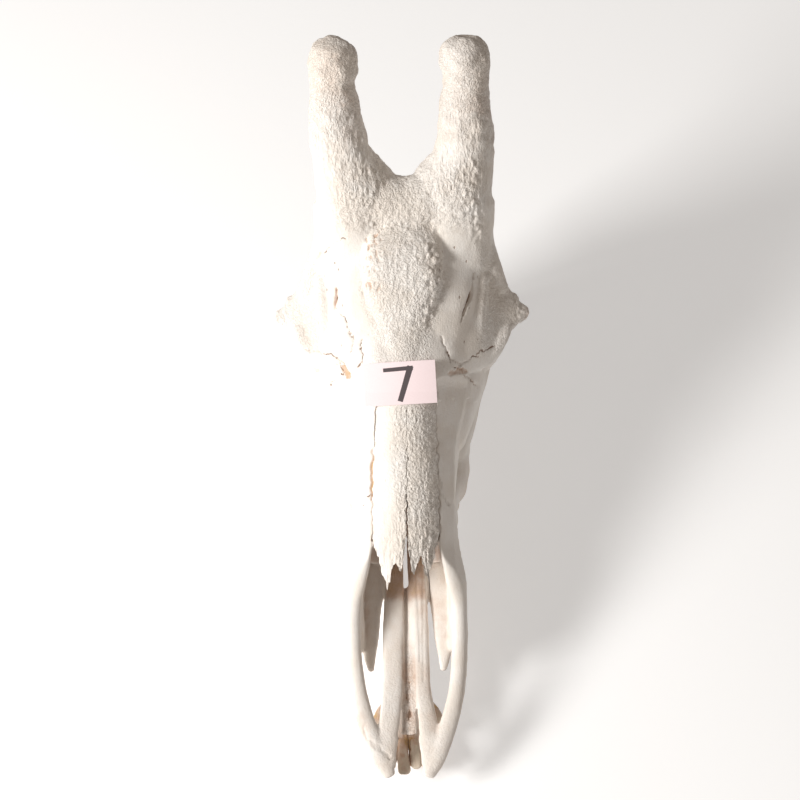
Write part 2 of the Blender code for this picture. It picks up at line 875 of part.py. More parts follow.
# Loose bones of the upper skull
MIDLINE = ((SEAM / 2, 0, 0), (-1, 0, 0))
median = thin(fuse("median_ossicone", boss_forms(), 3.0, 2), 360)
nasals = [nasal("nasal_left", 1), nasal("nasal_right", -1)]
premaxilla = thin(fuse("premaxilla_left", premaxilla_forms(), 2.2, 2), 480)
combine(premaxilla, [slab(*MIDLINE, UP)], "DIFFERENCE")
premaxillae = [premaxilla, mirrored(premaxilla)]
label = paper_label()

# Lower jaw
jaw = thin(fuse("mandible_left", jaw_forms(), 3.0, 3), 1000)
combine(jaw, [slab(*MIDLINE, UP)], "DIFFERENCE")
combine(jaw, [*cheek_teeth(LOWER_TEETH, -1), *[incisor(*shape) for shape in INCISORS]], "UNION")
jaws = [jaw, mirrored(jaw)]

# Bones cut clear of one another
roomy = [nasal("form", 1, CLEAR_ABOVE), nasal("form", -1, CLEAR_ABOVE), paper_label(CLEAR_ABOVE)]
near_skull = [*[swollen(form) for form in roomy], *[grown(b) for b in (*premaxillae, *jaws)]]
combine(skull, near_skull, "DIFFERENCE")
boss_floor = slab(face(0, 0, -14), (0, -OUT_OF_FACE[1], -OUT_OF_FACE[2]), (1, 0, 0))
combine(median, [boss_floor, *[grown(b) for b in (*nasals, label)]], "DIFFERENCE")
combine(skull, [grown(median)], "DIFFERENCE")
for bone in premaxillae:
    combine(bone, [grown(b) for b in (*nasals, *jaws)], "DIFFERENCE")

# Upper skull parted
foot_point = face(0, OSSICONE_FOOT, 0)
above = (foot_point, ALONG_FACE)
gap = Vector(ALONG_FACE) * SEAM
below = (tuple(Vector(foot_point) + gap), tuple(-c for c in ALONG_FACE))
front_of = (SUTURE_TOP, tuple(-c for c in SUTURE_NORMAL))
seam_shift = Vector(unit(np.array(SUTURE_NORMAL, float))) * SEAM
behind = (tuple(Vector(SUTURE_TOP) - seam_shift), SUTURE_NORMAL)
cranium = piece(skull, "cranium", [slab(*front_of, UP), slab(*above, UP)])
ossicone = piece(skull, "ossicone_left", [slab(*below, UP), slab(*MIDLINE, UP)])
maxilla = piece(skull, "maxilla_left", [slab(*behind, UP), slab(*MIDLINE, UP)])
combine(maxilla, cheek_teeth(UPPER_TEETH, 1), "UNION")
maxillae = [maxilla, mirrored(maxilla)]
ossicones = [ossicone, mirrored(ossicone)]
bpy.data.objects.remove(skull)
for pair in (ossicones, maxillae, premaxillae, jaws):
    pair[1].name = pair[0].name.replace("_left", "_right")

# Laid to rest on the lower edge of the jaw
bones = [cranium, *ossicones, median, *maxillae, *nasals, *premaxillae, *jaws]
everything = [*bones, label]
for obj in everything:
    lean(obj)
turn = Matrix.Rotation(REST_TILT, 4, "X")
lowest = min((turn @ v.co).z for obj in jaws for v in obj.data.vertices) / MM
sole = Vector((0, 0, lowest + SOLE_DEPTH))
for obj in jaws:
    combine(obj, [slab(turn.inverted() @ sole, turn.inverted() @ Vector((0, 0, -1)), BACK)], "DIFFERENCE")
points = np.array([turn @ v.co for obj in everything for v in obj.data.vertices])
low, high = points.min(axis=0), points.max(axis=0)
at_rest = bpy.data.objects.new("at_rest", None)
at_rest.rotation_euler.x = REST_TILT
at_rest.location = (-(low[0] + high[0]) / 2, -(low[1] + high[1]) / 2, -low[2])
bpy.context.scene.collection.objects.link(at_rest)
for obj in everything:
    obj.parent = at_rest

BONE = (0.80, 0.76, 0.69)
PAPER = (0.90, 0.72, 0.68)
paint(bones, "bone", BONE, 0.75)
paint([label], "paper", PAPER, 0.9)
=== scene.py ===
import json
import math

import bmesh
import bpy
import numpy as np
from mathutils import Matrix, Quaternion, Vector

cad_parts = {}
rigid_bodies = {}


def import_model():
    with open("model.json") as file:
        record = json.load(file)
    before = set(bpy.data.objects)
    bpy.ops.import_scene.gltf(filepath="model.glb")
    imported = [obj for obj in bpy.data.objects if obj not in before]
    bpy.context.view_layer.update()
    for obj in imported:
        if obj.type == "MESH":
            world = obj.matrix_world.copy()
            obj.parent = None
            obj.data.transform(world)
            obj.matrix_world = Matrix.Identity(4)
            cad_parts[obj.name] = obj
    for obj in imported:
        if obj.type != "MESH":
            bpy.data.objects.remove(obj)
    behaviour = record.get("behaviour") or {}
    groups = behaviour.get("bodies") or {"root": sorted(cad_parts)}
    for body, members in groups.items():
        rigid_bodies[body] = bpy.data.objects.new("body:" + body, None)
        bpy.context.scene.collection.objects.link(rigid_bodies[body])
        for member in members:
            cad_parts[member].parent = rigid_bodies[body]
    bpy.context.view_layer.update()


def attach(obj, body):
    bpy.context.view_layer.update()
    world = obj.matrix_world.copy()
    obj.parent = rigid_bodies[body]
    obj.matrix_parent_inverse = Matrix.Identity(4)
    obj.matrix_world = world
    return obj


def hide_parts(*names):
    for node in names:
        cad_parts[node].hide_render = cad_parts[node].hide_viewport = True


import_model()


# Nasals. Two long shells of bone roof the nose, side by side, a little askew. Their tops are grainy, their
# torn front ends run out in splinters, and a cleft opens between them towards the front.

# Bones are worked out in the skull's own frame, in millimetres: x to the animal's left, s back along the
# biting plane, h up from it. Along the face, u runs from muzzle to forehead and v stands out from that line.
# The skull rests tilted on its jaw, and its crown leans a little to its left.
FACE_ANGLE = math.radians(25.0)
ALONG_FACE = np.array([0.0, math.cos(FACE_ANGLE), math.sin(FACE_ANGLE)])
OUT_OF_FACE = np.array([0.0, -math.sin(FACE_ANGLE), math.cos(FACE_ANGLE)])
REST_TILT = 0.138898
REST_PLACE = np.array([-0.37, -319.90, 38.28])
SWAY, SWAY_MIDDLE, SWAY_REACH = 4.5, 615.0, 75.0


def face(x, u, v):
    """A point given along and out from the face line, as x, s, h."""
    return (
        x,
        u * math.cos(FACE_ANGLE) - v * math.sin(FACE_ANGLE),
        u * math.sin(FACE_ANGLE) + v * math.cos(FACE_ANGLE),
    )


def placed(points):
    """Points of the skull in metres, as it lies: x shifts by a bell curve of u, then all turn about x."""
    points = np.array(points, float)
    u = points @ ALONG_FACE
    points[:, 0] += SWAY * np.exp(-(((u - SWAY_MIDDLE) / SWAY_REACH) ** 2))
    turn = np.array(Matrix.Rotation(REST_TILT, 3, "X"))
    return (points @ turn.T + REST_PLACE) * 0.001


def shown(name, data):
    """A new object of the scene."""
    thing = bpy.data.objects.new(name, data)
    bpy.context.scene.collection.objects.link(thing)
    return thing


def made(name, form):
    """An object from points and faces, with every face pointing outwards."""
    points, faces = form
    mesh = bpy.data.meshes.new(name)
    mesh.from_pydata(np.asarray(points).tolist(), [], faces)
    built = bmesh.new()
    built.from_mesh(mesh)
    bmesh.ops.triangulate(built, faces=[f for f in built.faces if len(f.verts) > 4])
    if built.calc_volume(signed=True) < 0:
        bmesh.ops.reverse_faces(built, faces=built.faces[:])
    built.to_mesh(mesh)
    built.free()
    return shown(name, mesh)


def read(items, name, width=1, kind=np.float32):
    """One property of all of a mesh's items, as an array with a row for each."""
    flat = np.zeros(len(items) * width, kind)
    items.foreach_get(name, flat)
    return flat.reshape(-1, width) if width > 1 else flat


def points_of(mesh):
    """The mesh's points as x, y, z, one row each."""
    return read(mesh.vertices, "co", 3).astype(float)


def put_points(mesh, points):
    """Each point of the mesh goes to its row of x, y, z."""
    mesh.vertices.foreach_set("co", points.astype(np.float32).ravel())
    mesh.update()


def store(mesh, name, values):
    """A value for each point of the mesh, for its material to read."""
    mesh.attributes.new(name, "FLOAT", "POINT").data.foreach_set("value", values.astype(np.float32))


# The stain mark holds real stains, and also the painted shade inside the nose
MARKS = ("rough", "ribbed", "crack", "stain_and_shade", "pit")


def marked(mesh, rough, ribbed, crack, stain_and_shade, pit):
    """Stores how grainy, ribbed, near to a crack, stained and painted with shade, and pitted each point is.
    """
    for name, values in zip(MARKS, (rough, ribbed, crack, stain_and_shade, pit)):
        values = np.broadcast_to(np.asarray(values, float), (len(mesh.vertices),))
        store(mesh, name, values if name == "crack" else np.clip(values, 0, 1))


def noise(points, size, seed):
    """Smooth noise from -1 to 1: random values on a lattice of the given size, eased between its corners."""
    table = np.random.default_rng(seed).uniform(-1, 1, (48, 48, 48)).astype(np.float32)
    scaled = points / np.array(size, float)
    cell = np.floor(scaled).astype(int)
    t = scaled - cell
    t = t * t * t * (t * (t * 6 - 15) + 10)
    total = np.zeros(len(points))
    for corner in np.ndindex(2, 2, 2):
        at = (cell + corner) % 48
        weight = np.where(corner, t, 1 - t).prod(axis=1)
        total += weight * table[at[:, 0], at[:, 1], at[:, 2]]
    return total * 1.4


def chart(x, u):
    """Points on a flat chart of x and u, for noise that follows the face."""
    return np.stack([x + 0 * u, u + 0 * x, 0 * u + 0 * x], -1).reshape(-1, 3)


def knobs(points, size, seed, spread=0.62):
    """Round knobs from 0 to 1: one centre in each cell of a lattice, a dome about it, each its own height."""
    dice = np.random.default_rng(seed)
    table = dice.uniform(0.1, 0.9, (32, 32, 32, 3)).astype(np.float32)
    tall = dice.uniform(0.15, 1.0, (32, 32, 32)).astype(np.float32)
    scaled = points / np.array(size, float)
    base = np.floor(scaled).astype(int)
    best = np.zeros(len(points))
    for offset in np.ndindex(3, 3, 3):
        cell = base + offset - 1
        at = cell % 32
        key = (at[:, 0], at[:, 1], at[:, 2])
        away = ((scaled - cell - table[key]) ** 2).sum(axis=1) / spread**2
        best = np.maximum(best, np.sqrt(np.clip(1 - away, 0, 1)) * tall[key])
    return best


def rise(value, low, high):
    """0 below low and 1 above high, eased between them. With low above high, it falls."""
    t = np.clip((value - low) / (high - low), 0, 1)
    return t * t * (3 - 2 * t)


def bell(value, middle, reach):
    """A bell curve: e to the minus square of the distance from the middle over the reach."""
    return np.exp(-(((value - middle) / reach) ** 2))


def between(first, second):
    """A closed body between two sheets of points: both sheets, and a rim round their edges."""
    rows, columns = first.shape[:2]
    a = (np.arange(rows - 1)[:, None] * columns + np.arange(columns - 1)[None, :]).ravel()
    sheet = np.stack([a, a + 1, a + columns + 1, a + columns], -1)
    layer = rows * columns
    rim = np.concatenate(
        [
            np.arange(columns),
            np.arange(2, rows + 1) * columns - 1,
            np.arange(rows * columns - 2, (rows - 1) * columns - 1, -1),
            np.arange(rows - 2, 0, -1) * columns,
        ]
    )
    after = np.roll(rim, -1)
    sides = np.stack([after, rim, rim + layer, after + layer], -1)
    faces = np.concatenate([sheet, sheet[:, ::-1] + layer, sides])
    return np.concatenate([first.reshape(-1, 3), second.reshape(-1, 3)]), faces.tolist()


def slab(x, u, low, high):
    """A closed body over a grid of x and u on the face, from one height out of it to another."""
    return between(np.stack(face(x, u, high), -1), np.stack(face(x, u, low), -1))


SHARP_ANGLE = math.radians(72)


def laid(thing, node, material):
    """Lays a worked-out piece in its place in metres, flat where it touches down, and says what it is."""
    points = placed(points_of(thing.data))
    points[:, 2] = np.maximum(points[:, 2], 0.0)
    put_points(thing.data, points)
    thing.data.shade_smooth()
    thing.data.set_sharp_from_angle(angle=SHARP_ANGLE)
    thing.data.materials.clear()
    thing.data.materials.append(material)
    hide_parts(node)
    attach(thing, "root")


# Dry bone is chalky and cream, warmer where fat has soaked in, brown in cracks, and pitted with pores.
# Painted shade darkens its hollows and the inside of the nose. The values that its mesh carries say where it
# is grainy, ribbed, cracked, stained and painted with shade.
CREAM = (0.80, 0.735, 0.66)
CHALK = (0.87, 0.838, 0.797)
TAN = (0.61, 0.455, 0.36)
OCHRE = (0.55, 0.37, 0.20)
BROWN = (0.25, 0.155, 0.105)
# Painted shade: the brown of bone in shade, mixed into the hollows of the stipple and of the ribs
HOLLOW_SHADE = (0.55, 0.445, 0.36)
PORE = (0.36, 0.25, 0.18)


def blank(name):
    """An empty material, and three functions that add to it: a node, a mix of colours, and the surface."""
    material = bpy.data.materials.new(name)
    material.use_nodes = True
    tree = material.node_tree
    tree.nodes.clear()

    def node(kind, inputs=(), **settings):
        """A node of this kind, with its settings, and a value or a link in each input."""
        one = tree.nodes.new(f"ShaderNode{kind}")
        for key, value in settings.items():
            setattr(one, key, value)
        for key, value in dict(inputs).items():
            if isinstance(value, bpy.types.NodeSocket):
                tree.links.new(value, one.inputs[key])
            else:
                one.inputs[key].default_value = value
        return one

    def mix(share, *colours):
        """The first colour where the share is 0, the second where it is 1."""
        colours = [c if isinstance(c, bpy.types.NodeSocket) else (*c, 1.0) for c in colours]
        return node("Mix", {0: share, 6: colours[0], 7: colours[1]}, data_type="RGBA").outputs[2]

    def finish(colour, roughness, specular, bump):
        """The material, with a surface of this colour and gloss over the bump."""
        inputs = {"Base Color": colour, "Roughness": roughness, "Specular IOR Level": specular}
        surface = node("BsdfPrincipled", {**inputs, "Normal": bump.outputs[0]})
        node("OutputMaterial", {"Surface": surface.outputs[0]})
        return material

    return node, mix, finish


def bone_material(name, light=CHALK, dark=CREAM, dull=0.86, depth=1.0):
    """Bone: two creams mixed by noise, tan and ochre where stained and where shade is painted, then brown
    where a crack is near.

    Its bump adds up, in mm times depth: fine grain, a stipple, worm-like ribs, and the cracks' edges. The
    hollows of the stipple and of the ribs are a little darker, as painted shade.
    """
    node, mix, finish = blank(name)

    def mark(which):
        """One of the values that the mesh carries."""
        return node("Attribute", attribute_name=which).outputs["Fac"]

    def times(*values, clamp=False):
        """The product of two values."""
        return node("Math", dict(enumerate(values)), operation="MULTIPLY", use_clamp=clamp).outputs[0]

    def plus(first, second, operation="ADD"):
        """The sum of two values, or what another sign gives."""
        return node("Math", {0: first, 1: second}, operation=operation).outputs[0]

    def ramp(value, low, high, to_low=0.0, to_high=1.0):
        """A smooth step from one value to the other as the input goes from low to high."""
        steps = {"Value": value, "From Min": low, "From Max": high, "To Min": to_low, "To Max": to_high}
        return node("MapRange", steps, interpolation_type="SMOOTHSTEP").outputs[0]

    place = node("TexCoord").outputs["Object"]
    turn = {"Vector": place, "Rotation": (-(FACE_ANGLE + REST_TILT), 0.0, 0.0)}
    turned = node("Mapping", turn).outputs[0]

    def stretched(by):
        """The turned place, scaled along the face, so that a pattern on it runs in streaks."""
        return node("Mapping", {"Vector": turned, "Scale": (1.0, by, 1.0)}).outputs[0]

    def clouds(where, scale, detail=3.0, roughness=0.55, warp=0.0):
        """Cloudy noise at this scale."""
        steps = {"Vector": where, "Scale": scale, "Detail": detail, "Roughness": roughness}
        return node("TexNoise", {**steps, "Distortion": warp}).outputs["Fac"]

    rough, ribbed = mark("rough"), mark("ribbed")
    stipple = ramp(clouds(place, 470.0, 2.0, 0.55, 0.5), 0.36, 0.62)
    ribs = ramp(clouds(stretched(0.3), 430.0, 2.0, 0.55, 0.4), 0.36, 0.62)
    fibres = clouds(stretched(0.07), 700.0, 2.0)
    fine = clouds(place, 1500.0, 3.0, 0.6)
    low = times(plus(1.0, stipple, "SUBTRACT"), rough)
    low = plus(low, times(plus(1.0, ribs, "SUBTRACT"), ribbed))
    cells = node("TexVoronoi", {"Vector": stretched(0.6), "Scale": 135.0, "Randomness": 1.0}).outputs[0]
    spots = times(ramp(cells, 0.17, 0.0765), ramp(clouds(place, 60.0), 0.44, 0.54))
    spots = times(spots, mark("pit"))
    stain_and_shade = times(mark("stain_and_shade"), ramp(clouds(place, 90.0, 5.0, 0.65), 0.25, 0.7, 0.5, 1.15))
    broken = ramp(plus(mark("crack"), times(clouds(place, 800.0, 3.0), -0.7)), 0.35, -0.15)

    colour = mix(times(ramp(clouds(place, 22.0, 4.0), 0.38, 0.66), 0.7), light, dark)
    for share, tint in (
        (times(ramp(fibres, 0.4, 0.7), 0.25), dark),
        # painted shade in the hollows of the stipple and of the ribs
        (times(low, 0.22, clamp=True), HOLLOW_SHADE),
        (times(spots, 0.8), PORE),
        # tan and ochre: real stains, and the painted shade inside the nose
        (ramp(stain_and_shade, 0.0, 0.55), TAN),
        (ramp(stain_and_shade, 0.45, 1.0), OCHRE),
        (times(broken, 0.9), BROWN),
    ):
        colour = mix(share, colour, tint)

    height = times(fine, 0.14)
    for layer, much in (
        (times(stipple, plus(rough, 0.1)), 0.5), (times(ribs, ribbed), 0.48), (fibres, 0.16), (spots, -0.5),
        (broken, -0.5),
    ):
        height = plus(height, times(layer, much))
    bump = node("Bump", {"Height": height, "Strength": 1.0, "Distance": 0.001 * depth})
    return finish(colour, ramp(fine, 0.2, 0.8, dull - 0.2, dull), 0.28, bump)


bone = bone_material("bone")


NASAL_HALF = 35.0
NASAL_BACK = 436.0
SPLINTERS_LEFT = [
    (0, 236), (3, 222), (8.5, 216), (11, 228), (15, 233), (18.5, 224), (23, 209), (26, 222), (30, 234),
    (35, 256),
]
SPLINTERS_RIGHT = [
    (0, 240), (2, 224), (4.5, 217), (9.5, 224), (13, 223), (16, 212), (20, 200), (24, 213), (28, 229),
    (35, 254),
]


def nasal_top(x, u):
    """How far the nasals stand out: a ridge that rises from their tips, falling off towards each side."""
    ridge = 11.0 - 9.0 * np.exp(-np.maximum(u - 190.0, 0.0) / 28.0)
    return ridge - (14.5 + 2.5 * rise(u, 320, 365)) * (abs(x) / NASAL_HALF) ** 2.4


def nasal_edges(u, sign):
    """How far from the midline a nasal starts and ends, along u: broken lines, with noise on them."""
    flat = chart(0, u)
    wander = (0.6 * noise(flat, 8, 61) + 0.4 * noise(flat, 3.5, 62)).reshape(u.shape)
    middle = np.interp(u, [225, 300, 392, 440], [0.4, 2.2, 3.4, 3.6]) + wander
    if sign > 0:
        return middle, np.interp(u, [250, 300, 392, 440], [35, 36.3, 33.6, 32]) + 1.2 * wander
    return -middle, np.interp(u, [250, 295, 345, 392, 440], [35, 33.6, 31.8, 28.6, 27]) - 1.2 * wander


def nasal_grain(x, u, seed):
    """Relief of the nasals' top: small grains, and folds towards the torn front; none under the slip."""
    spot = chart(x, u)
    grains = 0.45 * knobs(spot, (2.2, 2.6, 4), seed) + 0.3 * noise(spot, (2.0, 2.8, 4), seed + 1)
    folds = abs(noise(spot, (3.4, 13, 4), seed + 2)) + 0.5 * abs(noise(spot, (2.2, 7, 4), seed + 5)) - 0.4
    splintered = rise(spot[:, 1], 310, 235)
    grainy = 0.2 + 0.8 * rise(spot[:, 0], -17, -2)
    out = grains * grainy + 0.85 * folds * splintered * (0.5 + 0.5 * grainy) - 0.15
    out = out + 0.3 * noise(spot, (9, 30, 9), seed + 3)
    bare = rise(spot[:, 1], 394, 386)
    return (out * bare - 0.3 * (1 - bare)).reshape(x.shape)


def nasal_form(sign, splinters, room=0.0, columns=16, rows=60, seed=None):
    """One nasal as a sheet over x and u, closed by a second sheet under it by its thickness.

    Across runs from its inner to its outer edge, along from the torn front to the back. The cleft moves
    the inner edge out by a curve of x that grows towards the front.
    """
    across = np.linspace(0, 1, columns + 1)[:, None]
    along = np.linspace(0, 1, rows + 1)[None, :]
    front = np.interp(NASAL_HALF * across, *np.array(splinters, float).T)
    u = front + (NASAL_BACK - 12.0 * across - front) * along**1.15
    if seed is not None:
        tear = chart(NASAL_HALF * across, u)
        ragged = 2.2 * noise(tear, 2.4, seed + 7) + 1.6 * noise(tear, 5.5, seed + 8)
        u = u + ragged.reshape(u.shape) * bell(along, 0, 0.03)
    inner, outer = nasal_edges(u, sign)
    x = inner + (outer - inner) * across
    cleft = 0.04 + 0.8 * rise(u, 308, 285) + (3.4 if sign > 0 else 1.9) * rise(u, 264, 215)
    x = x + cleft * np.exp(-np.maximum(x - inner, 0) / 7.0)
    top = nasal_top(x, u) + room
    thick = (9.0 - 3.0 * across) * np.minimum(1.0, 0.2 + (u - front) / 30.0)
    low = nasal_top(x, u) - np.maximum(thick, 1.2)
    if seed is not None:
        top = top + nasal_grain(sign * x, u, seed)
        low = low + 0.4 * noise(chart(x, u), 6, seed + 9).reshape(x.shape)
    return slab(sign * x, u, low, top)


for side, sign, splinters, seed in (("left", 1, SPLINTERS_LEFT, 71), ("right", -1, SPLINTERS_RIGHT, 85)):
    nasal = made(f"nasal_{side}_bone", nasal_form(sign, splinters, 0.0, 56, 300, seed))
    spots = points_of(nasal.data)
    along = spots @ ALONG_FACE
    height = spots @ OUT_OF_FACE - nasal_top(spots[:, 0], along)
    marked(
        nasal.data,
        rough=(0.2 + 0.6 * rise(spots[:, 0], -18, -2)) * rise(height, -2.5, -1),
        ribbed=0.45 * rise(along, 290, 240),
        crack=6.0,
        stain_and_shade=0.5 * rise(height, -1.8, -5),
        pit=0.25 + 0.5 * rise(spots[:, 0], -10, -20) * rise(along, 300, 330),
    )
    laid(nasal, f"nasal_{side}", bone)


# Paper slip. A cut piece of pink paper, laid across the nasals, with a figure drawn on it in grey marker.
# It bends over the bone, and its front edge has curled up a little.
SLIP_MIDDLE = (-3.5, 415.5)
SLIP_SIZE = (76.0, 45.0)
SLIP_TURN = math.radians(2.5)
SLIP_THICK = 0.8
SLIP_PINK = (0.985, 0.845, 0.862)
SLIP_SHADE = (0.93, 0.9, 0.9)
MARKER_GREY = (0.105, 0.088, 0.092)
FIGURE_BAR = ((-16.6, 14.3), (14.6, 15.4), 2.0, 2.2)
FIGURE_STEM = ((12.2, 17.2), (-0.6, -19.0), 3.2, 2.7)


def slip_form(room=0.0, columns=12, rows=3):
    """The slip as two sheets over its own p and q, turned a little, that bend over the nasals.

    The height falls by the square of x from the ridge and rises a little to the left. The front edge curls
    up in a ramp.
    """
    p = (np.linspace(0, 1, columns + 1)[None, :] - 0.5) * SLIP_SIZE[0]
    q = (np.linspace(0, 1, rows + 1)[:, None] - 0.5) * SLIP_SIZE[1]
    x = SLIP_MIDDLE[0] + p * math.cos(SLIP_TURN) - q * math.sin(SLIP_TURN)
    u = SLIP_MIDDLE[1] + p * math.sin(SLIP_TURN) + q * math.cos(SLIP_TURN)
    curl = 1.5 * np.maximum(0.0, (406.0 - u) / 15.0)
    low = nasal_top(0.0, u) + 0.36 - 2.6 * (x / NASAL_HALF) ** 2 + 0.05 * x + curl
    return slab(x, u, low, low + SLIP_THICK + room)


def stroke_distance(p, q, start, end, half_start, half_end):
    """Distance outside a marker stroke with square ends: the larger of the ways past its side and its end."""
    start, end = np.array(start), np.array(end)
    length = np.linalg.norm(end - start)
    way = (end - start) / length
    along = (p - start[0]) * way[0] + (q - start[1]) * way[1]
    aside = abs((p - start[0]) * way[1] - (q - start[1]) * way[0])
    half = half_start + (half_end - half_start) * np.clip(along / length, 0, 1)
    return np.maximum(aside - half, np.maximum(-along, along - length))


slip = made("paper_slip", slip_form(0.0, 190, 112))
spots = points_of(slip.data)
sheet = spots[:, 0] - SLIP_MIDDLE[0], spots @ ALONG_FACE - SLIP_MIDDLE[1]
p = sheet[0] * math.cos(SLIP_TURN) + sheet[1] * math.sin(SLIP_TURN)
q = sheet[1] * math.cos(SLIP_TURN) - sheet[0] * math.sin(SLIP_TURN)
ink = np.minimum(stroke_distance(p, q, *FIGURE_BAR), stroke_distance(p, q, *FIGURE_STEM))
store(slip.data, "ink", ink)

node, mix, finish = blank("pink_paper")
place = node("TexCoord").outputs["Object"]
fibres = {"Vector": place, "Scale": 900.0, "Detail": 5.0, "Distortion": 1.2}
fibres = node("TexNoise", fibres).outputs["Fac"]
ink_mark = node("Attribute", attribute_name="ink").outputs["Fac"]
feather = node("Math", {0: fibres, 1: 0.5, 2: ink_mark}, operation="MULTIPLY_ADD").outputs[0]
stroke = node("MapRange", {"Value": feather, "From Min": 0.45, "From Max": 0.15}).outputs[0]
colour = mix(stroke, mix(fibres, SLIP_PINK, np.multiply(SLIP_PINK, SLIP_SHADE)), MARKER_GREY)
paper = finish(colour, 0.88, 0.25, node("Bump", {"Height": fibres, "Strength": 0.25, "Distance": 0.0002}))
laid(slip, "paper_label", paper)


# Teeth. Cheek teeth are rows of lobed crowns that meet at the biting plane, the upper ones overhanging
# the lower. The front teeth are narrow spades, and the canine beside them has two lobes. Enamel is glossier
# than bone, wrinkled and stained brown in its grooves.

UP = np.array([0.0, 0.0, 1.0])


def unit(vectors):
    """Each vector divided by its length."""
    return vectors / np.linalg.norm(vectors, axis=-1, keepdims=True)


def circle(count):
    """A full turn in even steps, as angles."""
    return np.linspace(0, 2 * math.pi, count, endpoint=False)


def bulged(value, power):
    """A sine or cosine with its size raised to a power, which squares up an oval or pinches it."""
    return np.sign(value) * abs(value) ** power


def through(rows, steps, closed=False):
    """A cubic through every row: slopes are central differences, blended by Hermite's weights."""
    rows = np.array(rows, float)
    if closed:
        rows = np.concatenate([rows[-2:], rows, rows[:3]])
    near = rows[:, :3] if rows.shape[1] > 2 else rows
    spans = np.linalg.norm(np.diff(near, axis=0), axis=1)
    at = np.concatenate([[0.0], np.cumsum(spans)])
    slopes = np.gradient(rows, at, axis=0)
    t = (np.arange(steps) / steps)[None, :, None]
    start, end = rows[:-1, None], rows[1:, None]
    lead = slopes[:-1, None] * spans[:, None, None]
    trail = slopes[1:, None] * spans[:, None, None]
    curve = (
        (2 * t**3 - 3 * t**2 + 1) * start
        + (t**3 - 2 * t**2 + t) * lead
        + (3 * t**2 - 2 * t**3) * end
        + (t**3 - t**2) * trail
    )
    if closed:
        return curve[2:-2].reshape(-1, rows.shape[1])
    return np.concatenate([curve.reshape(-1, rows.shape[1]), rows[-1:]])


def wrapped(rings, joined=False):
    """A closed surface over rings of points: each ring joins the next, and the ends are capped or joined."""
    count, sides = rings.shape[:2]
    r = np.arange(count if joined else count - 1)[:, None]
    k = np.arange(sides)[None, :]
    after, n = (r + 1) % count, (k + 1) % sides
    quads = np.stack([r * sides + k, r * sides + n, after * sides + n, after * sides + k], -1).reshape(-1, 4)
    faces = quads.tolist()
    if not joined:
        faces.append(list(range(sides))[::-1])
        faces.append(list(range((count - 1) * sides, count * sides)))
    return rings.reshape(-1, 3), faces


def other_side(form):
    """The form's twin across the midline, with its faces turned round so that they point out again."""
    points, faces = form
    return points * np.array([-1.0, 1.0, 1.0]), [corners[::-1] for corners in faces]


def applied(thing):
    """Puts the result of the object's modifiers into its mesh."""
    graph = bpy.context.evaluated_depsgraph_get()
    mesh = bpy.data.meshes.new_from_object(thing.evaluated_get(graph))
    thing.modifiers.clear()
    thing.data = mesh
    return thing


def combined(thing, steps, then=lambda thing: None):
    """Unions, differences and intersections of the object with lists of forms, then further modifiers."""
    groups = []
    for how, forms in steps:
        group = bpy.data.collections.new("forms")
        bpy.context.scene.collection.children.link(group)
        for form in forms:
            operand = made("form", form)
            bpy.context.scene.collection.objects.unlink(operand)
            group.objects.link(operand)
        step = thing.modifiers.new(how, "BOOLEAN")
        step.operation = how
        step.operand_type = "COLLECTION"
        step.collection = group
        step.solver = "MANIFOLD"
        groups.append(group)
    then(thing)
    applied(thing)
    for group in groups:
        for operand in list(group.objects):
            bpy.data.objects.remove(operand)
        bpy.data.collections.remove(group)
    return thing


def normals_of(mesh):
    """The direction in which the skin faces at each point."""
    return read(mesh.vertex_normals, "vector", 3).astype(float)


def joined(forms):
    """The union of some forms, as one form."""
    thing = combined(made("joined", forms[0]), [("UNION", forms[1:])])
    faces = [list(p.vertices) for p in thing.data.polygons]
    form = points_of(thing.data), faces
    bpy.data.objects.remove(thing)
    return form


UPPER_TEETH = [
    (1, 250, 22, 40.0, 9.5), (1, 273, 23, 44.0, 11.0), (1, 297, 22, 47.5, 12.0), (2, 320, 28, 50.5, 13.0),
    (2, 349, 30, 53.0, 13.5), (2, 380, 29, 54.0, 12.5),
]
LOWER_TEETH = [
    (1, 245, 17, 35.0, 6.0), (1, 263, 22, 39.0, 7.5), (1, 286, 23, 42.0, 8.5), (2, 310, 28, 45.0, 9.5),
    (2, 339, 30, 48.0, 10.0), (3, 370, 38, 51.0, 9.5),
]
TOOTH_ROOT = 24.0


def cheek_tooth(tooth, way, room=0.0):
    """A crown as a stack of rings from its root to the biting plane; way is 1 for upper and -1 for lower.

    A ring is a squared oval of the tooth's length and width. Its width is pinched between lobes by the
    sine of the way along, the outer side carries ribs, and the outer edge hangs past the plane in cusps.
    """
    lobes, front, length, x, half = tooth
    turn = circle(88)[None, :]
    down = np.linspace(0, 1, 18)[:, None]
    c, w = bulged(np.cos(turn), 0.72), bulged(np.sin(turn), 0.72)
    wave = abs(np.sin(math.pi * lobes * (c + 1) / 2))
    pinch = 1 - (0.30 if lobes > 1 else 0.12) * (1 - wave) ** 2 * abs(w)
    outer = rise(w, 0.1, 0.8)
    rib = 1 + 0.07 * outer * bell(wave, 1.0, 0.22) + 0.06 * outer * bell(wave, 0.35, 0.15)
    swell = np.interp(down, [0, 0.45, 0.7, 0.93, 1.0], [0.74, 0.93, 1.0, 0.97, 0.86])
    long = np.interp(down, [0, 0.5, 0.8, 0.95, 1.0], [0.80, 0.92, 1.0, 0.985, 0.93])
    root, bite = way * TOOTH_ROOT, way * 0.2
    cusp = (2.6 if way > 0 else 0.9) * outer * (0.35 + 0.65 * wave) * rise(down, 0.7, 1.0)
    h = root + (bite - root) * down - way * cusp + 0 * turn
    s = front + length * (1 + 0.985 * c * long) / 2 + np.sign(c) * room
    across = (half * pinch * rib * swell + room) * w
    lean = 1.4 * (1 - down) * way
    return wrapped(np.stack([x + lean + across, s + 0 * h, h], -1))


